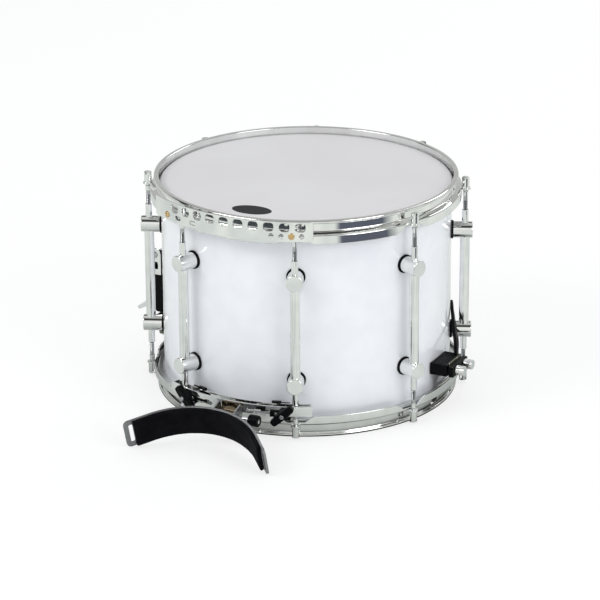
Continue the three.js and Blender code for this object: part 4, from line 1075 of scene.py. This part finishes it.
def bend_rest(piece, radius):
    """Bends a flat piece round the knee hollow; past the bend its legs stay straight."""
    limit = radius * math.radians(KNEE_BEND)
    for vertex in piece.data.vertices:
        y = max(-limit, min(limit, vertex.co.y))
        angle = y / radius
        beyond = vertex.co.y - y
        reach = vertex.co.x
        vertex.co.x = KNEE_CENTRE - reach * math.cos(angle) + beyond * math.sin(angle)
        vertex.co.y = reach * math.sin(angle) + beyond * math.cos(angle)
    piece.data.flip_normals()


def make_knee_plate():
    mid = (PLATE_BACK + PLATE_FRONT) / 2
    half = math.radians(KNEE_BEND) * mid + PLATE_LEG
    low, high = up(KNEE_LOW), up(KNEE_HIGH)
    plate = prism([(-half, low, 6), (half, low, 6), (half, high, 6), (-half, high, 6)],
                  PLATE_FRONT, PLATE_BACK, "X", 0.0, 8)
    middle = (low + high) / 2
    for side in (-1, 1):
        y = side * (half - 8.4)
        slot = block((PLATE_FRONT - 3, y - 2.6, middle - 13),
                     (PLATE_BACK + 3, y + 2.6, middle + 13), 0, 2.2, "X")
        cut(plate, slot)
    soften(plate, 0.5, 3, 50)
    slice_along(plate, "Y", -half, half, 90)
    bend_rest(plate, mid)
    settle(plate, "knee_band", SATIN_ALUMINIUM, "knee_plate", rest_place(), "knee_rest")


def make_knee_pad():
    mid = (PAD_BACK + PAD_FRONT) / 2
    half = math.radians(KNEE_BEND) * mid + PAD_LEG
    low, high = up(KNEE_LOW) + 0.7, up(KNEE_HIGH) - 0.7
    pad = prism([(-half, low, 1.5), (half, low, 1.5), (half, high, 1.5), (-half, high, 1.5)],
                PAD_FRONT, PAD_BACK, "X", 0.0, 3)
    soften(pad, 1.3, 4, 50)
    slice_along(pad, "Y", -half, half, 80)
    slice_along(pad, "Z", low, high, 12)
    middle = (low + high) / 2
    for vertex in pad.data.vertices:
        if vertex.co.x < PAD_BACK - 2:
            across = (vertex.co.z - middle) / (high - low) * 2
            lump = math.sin(vertex.co.y * 0.31) * math.sin(vertex.co.z * 0.4 + vertex.co.y * 0.12)
            vertex.co.x += 0.9 * across * across + 0.12 * lump
    bend_rest(pad, mid)
    settle(pad, "foam_pad", FOAM, "knee_pad", rest_place(), "knee_rest")


# Stage, light and camera


def maths(tree, operation, *values, kind="Math"):
    """The value of a maths node on numbers, vectors or sockets."""
    node = tree.nodes.new("ShaderNode" + kind)
    node.operation = operation
    for socket, value in zip(node.inputs, values):
        put(tree, socket, value)
    return node.outputs["Value"]


def axes_of(tree, vector):
    return feed(tree, tree.nodes.new("ShaderNodeSeparateXYZ"), Vector=vector)


def angle_of(tree, across, along):
    """The angle of (along, across) as a share of half a turn, from -1 to 1."""
    return maths(tree, "DIVIDE", maths(tree, "ARCTAN2", across, along), math.pi)


def blended(tree, *values):
    """Two shaders mixed by a number or a socket: factor, first and second."""
    mix = tree.nodes.new("ShaderNodeMixShader")
    for socket, value in zip(mix.inputs, values):
        put(tree, socket, value)
    return mix.outputs["Shader"]


def mixed(tree, factor, first, second, blend="MIX"):
    """Two colours mixed by a number or a socket."""
    mix = tree.nodes.new("ShaderNodeMix")
    mix.data_type = "RGBA"
    mix.blend_type = blend
    return feed(tree, mix, Factor=factor, A=first, B=second)["Result"]


def by_ray(tree, surfaces, metal, camera):
    """One shader for what surfaces see, one for polished metal and one for the camera."""
    path = tree.nodes.new("ShaderNodeLightPath").outputs
    seen = blended(tree, path["Is Glossy Ray"], surfaces, metal)
    return blended(tree, path["Is Camera Ray"], seen, camera)


def floor_in_metal(tree):
    """The floor's tone in polished metal: a painted shadow under the drum, dappled, with a painted
    reflection of a dark flag to its right.
    """
    place = add(tree, "TexCoord", "Object")
    axes = axes_of(tree, place)
    share = angle_of(tree, axes["X"], maths(tree, "MULTIPLY", axes["Y"], -1))
    reach = maths(tree, "LENGTH", place, kind="VectorMath")
    # Where the painted dark flag reflection lies: a sector times a reach
    painted_flag = maths(tree, "MULTIPLY", ramp_of(tree, share, PAINTED_FLAG_SECTOR), ramp_of(tree, reach, PAINTED_FLAG_REACH))
    cloud = add(tree, "TexNoise", Vector=place, Scale=3, Detail=1)
    # Painted shadow under the drum, times a random dapple
    dapple_and_shadow = mixed(tree, 1.0, ramp_of(tree, reach, SHADOW_AND_FLOOR_TONES), ramp_of(tree, cloud, DAPPLE_TONES),
                    "MULTIPLY")
    return mixed(tree, painted_flag, dapple_and_shadow, (*PAINTED_FLAG_TONE, 1))


def make_stage():
    """A pale floor that keeps a soft shadow."""
    deselect()
    bpy.ops.mesh.primitive_plane_add(size=24, location=(0, 0, RIM_LOW * MM))
    floor = bpy.context.object
    floor.name = "floor"
    material, tree, shader = new_material("pale_floor")
    pale = feed(tree, shader, Base_Color=(0.98, 0.98, 0.98, 1), Roughness=0.9, Specular_IOR_Level=0)["BSDF"]
    to_camera = blended(tree, FLOOR_GLOW, pale, add(tree, "Emission", Color=(*WHITE, 1)))
    dull = add(tree, "BsdfDiffuse", Color=floor_in_metal(tree))
    feed(tree, tree.nodes["Material Output"], Surface=by_ray(tree, pale, dull, to_camera))
    floor.data.materials.append(material)


def make_world():
    """White to the camera, soft to surfaces, and a room with dark flags to polished metal."""
    world = bpy.data.worlds.new("studio")
    bpy.context.scene.world = world
    world.use_nodes = True
    tree = world.node_tree
    tree.nodes.clear()
    direction = add(tree, "TexCoord", "Generated")
    facing = maths(tree, "DOT_PRODUCT", direction, ROOM_FRONT, kind="VectorMath")
    share = angle_of(tree, axes_of(tree, direction)["Z"], facing)
    tints = [(place, (level * 0.985, level, level * 0.975)) for place, level in ROOM_LEVELS]
    soft = add(tree, "Background", Color=(0.97, 0.985, 1.0, 1), Strength=SOFT_STRENGTH)
    room = add(tree, "Background", Color=ramp_of(tree, share, tints))
    white = add(tree, "Background", Color=(*WHITE, 1))
    feed(tree, tree.nodes.new("ShaderNodeOutputWorld"), Surface=by_ray(tree, soft, room, white))


def make_light(name, place, size, energy):
    """A soft box that faces the drum's middle."""
    lamp = bpy.data.lights.new(name, "AREA")
    lamp.shape = "RECTANGLE"
    lamp.size, lamp.size_y = size
    lamp.energy = energy
    holder = bpy.data.objects.new(name, lamp)
    bpy.context.collection.objects.link(holder)
    holder.location = place
    aim = Vector(LIT_MIDDLE) - Vector(place)
    holder.rotation_euler = aim.to_track_quat("-Z", "Y").to_euler()


def make_camera():
    camera_data = bpy.data.cameras.new("photo_camera")
    camera_data.sensor_width = SENSOR_WIDTH
    camera_data.lens = FOCAL_PIXELS * SENSOR_WIDTH / FRAME_PIXELS
    camera = bpy.data.objects.new("photo_camera", camera_data)
    bpy.context.collection.objects.link(camera)
    turn = rotation(CAMERA_TURN, "Z")
    dip = rotation(90 - CAMERA_DIP, "X")
    roll = rotation(CAMERA_ROLL, "Z")
    camera.matrix_world = Matrix.Translation(CAMERA_PLACE) @ turn @ dip @ roll
    bpy.context.scene.camera = camera


bpy.context.scene.view_settings.view_transform = "Standard"
make_camera()
make_shell()
make_head("batter_film", "batter_head", 0, -1)
make_head("snare_side_film", "snare_side_head", HEAD_LOW, 1)
make_oval_mark()
make_flesh_hoop("batter_inner_hoop", "batter_flesh_hoop", RIM_TOP, -1, BATTER_DROPS)
make_flesh_hoop("snare_side_inner_hoop", "snare_side_flesh_hoop", RIM_LOW, 1, SNARE_DROPS)
make_hoop("batter_counter_hoop", "batter_hoop", BATTER_DROPS, shift(0, 0, RIM_TOP) @ rotation(180, "X"))
make_hoop("snare_side_counter_hoop", "snare_side_hoop", SNARE_DROPS, shift(0, 0, RIM_LOW), (-90, 90))
make_lugs()
make_rods()
make_sling_strip()
make_sling_brackets()
make_snares()
make_strainer_base()
make_strainer_lever()
make_strainer_slide()
make_butt()
make_rail()
make_claws()
make_hinge()
make_cheeks()
make_knee_plate()
make_knee_pad()
make_stage()
make_world()
for light in LIGHTS:
    make_light(*light)
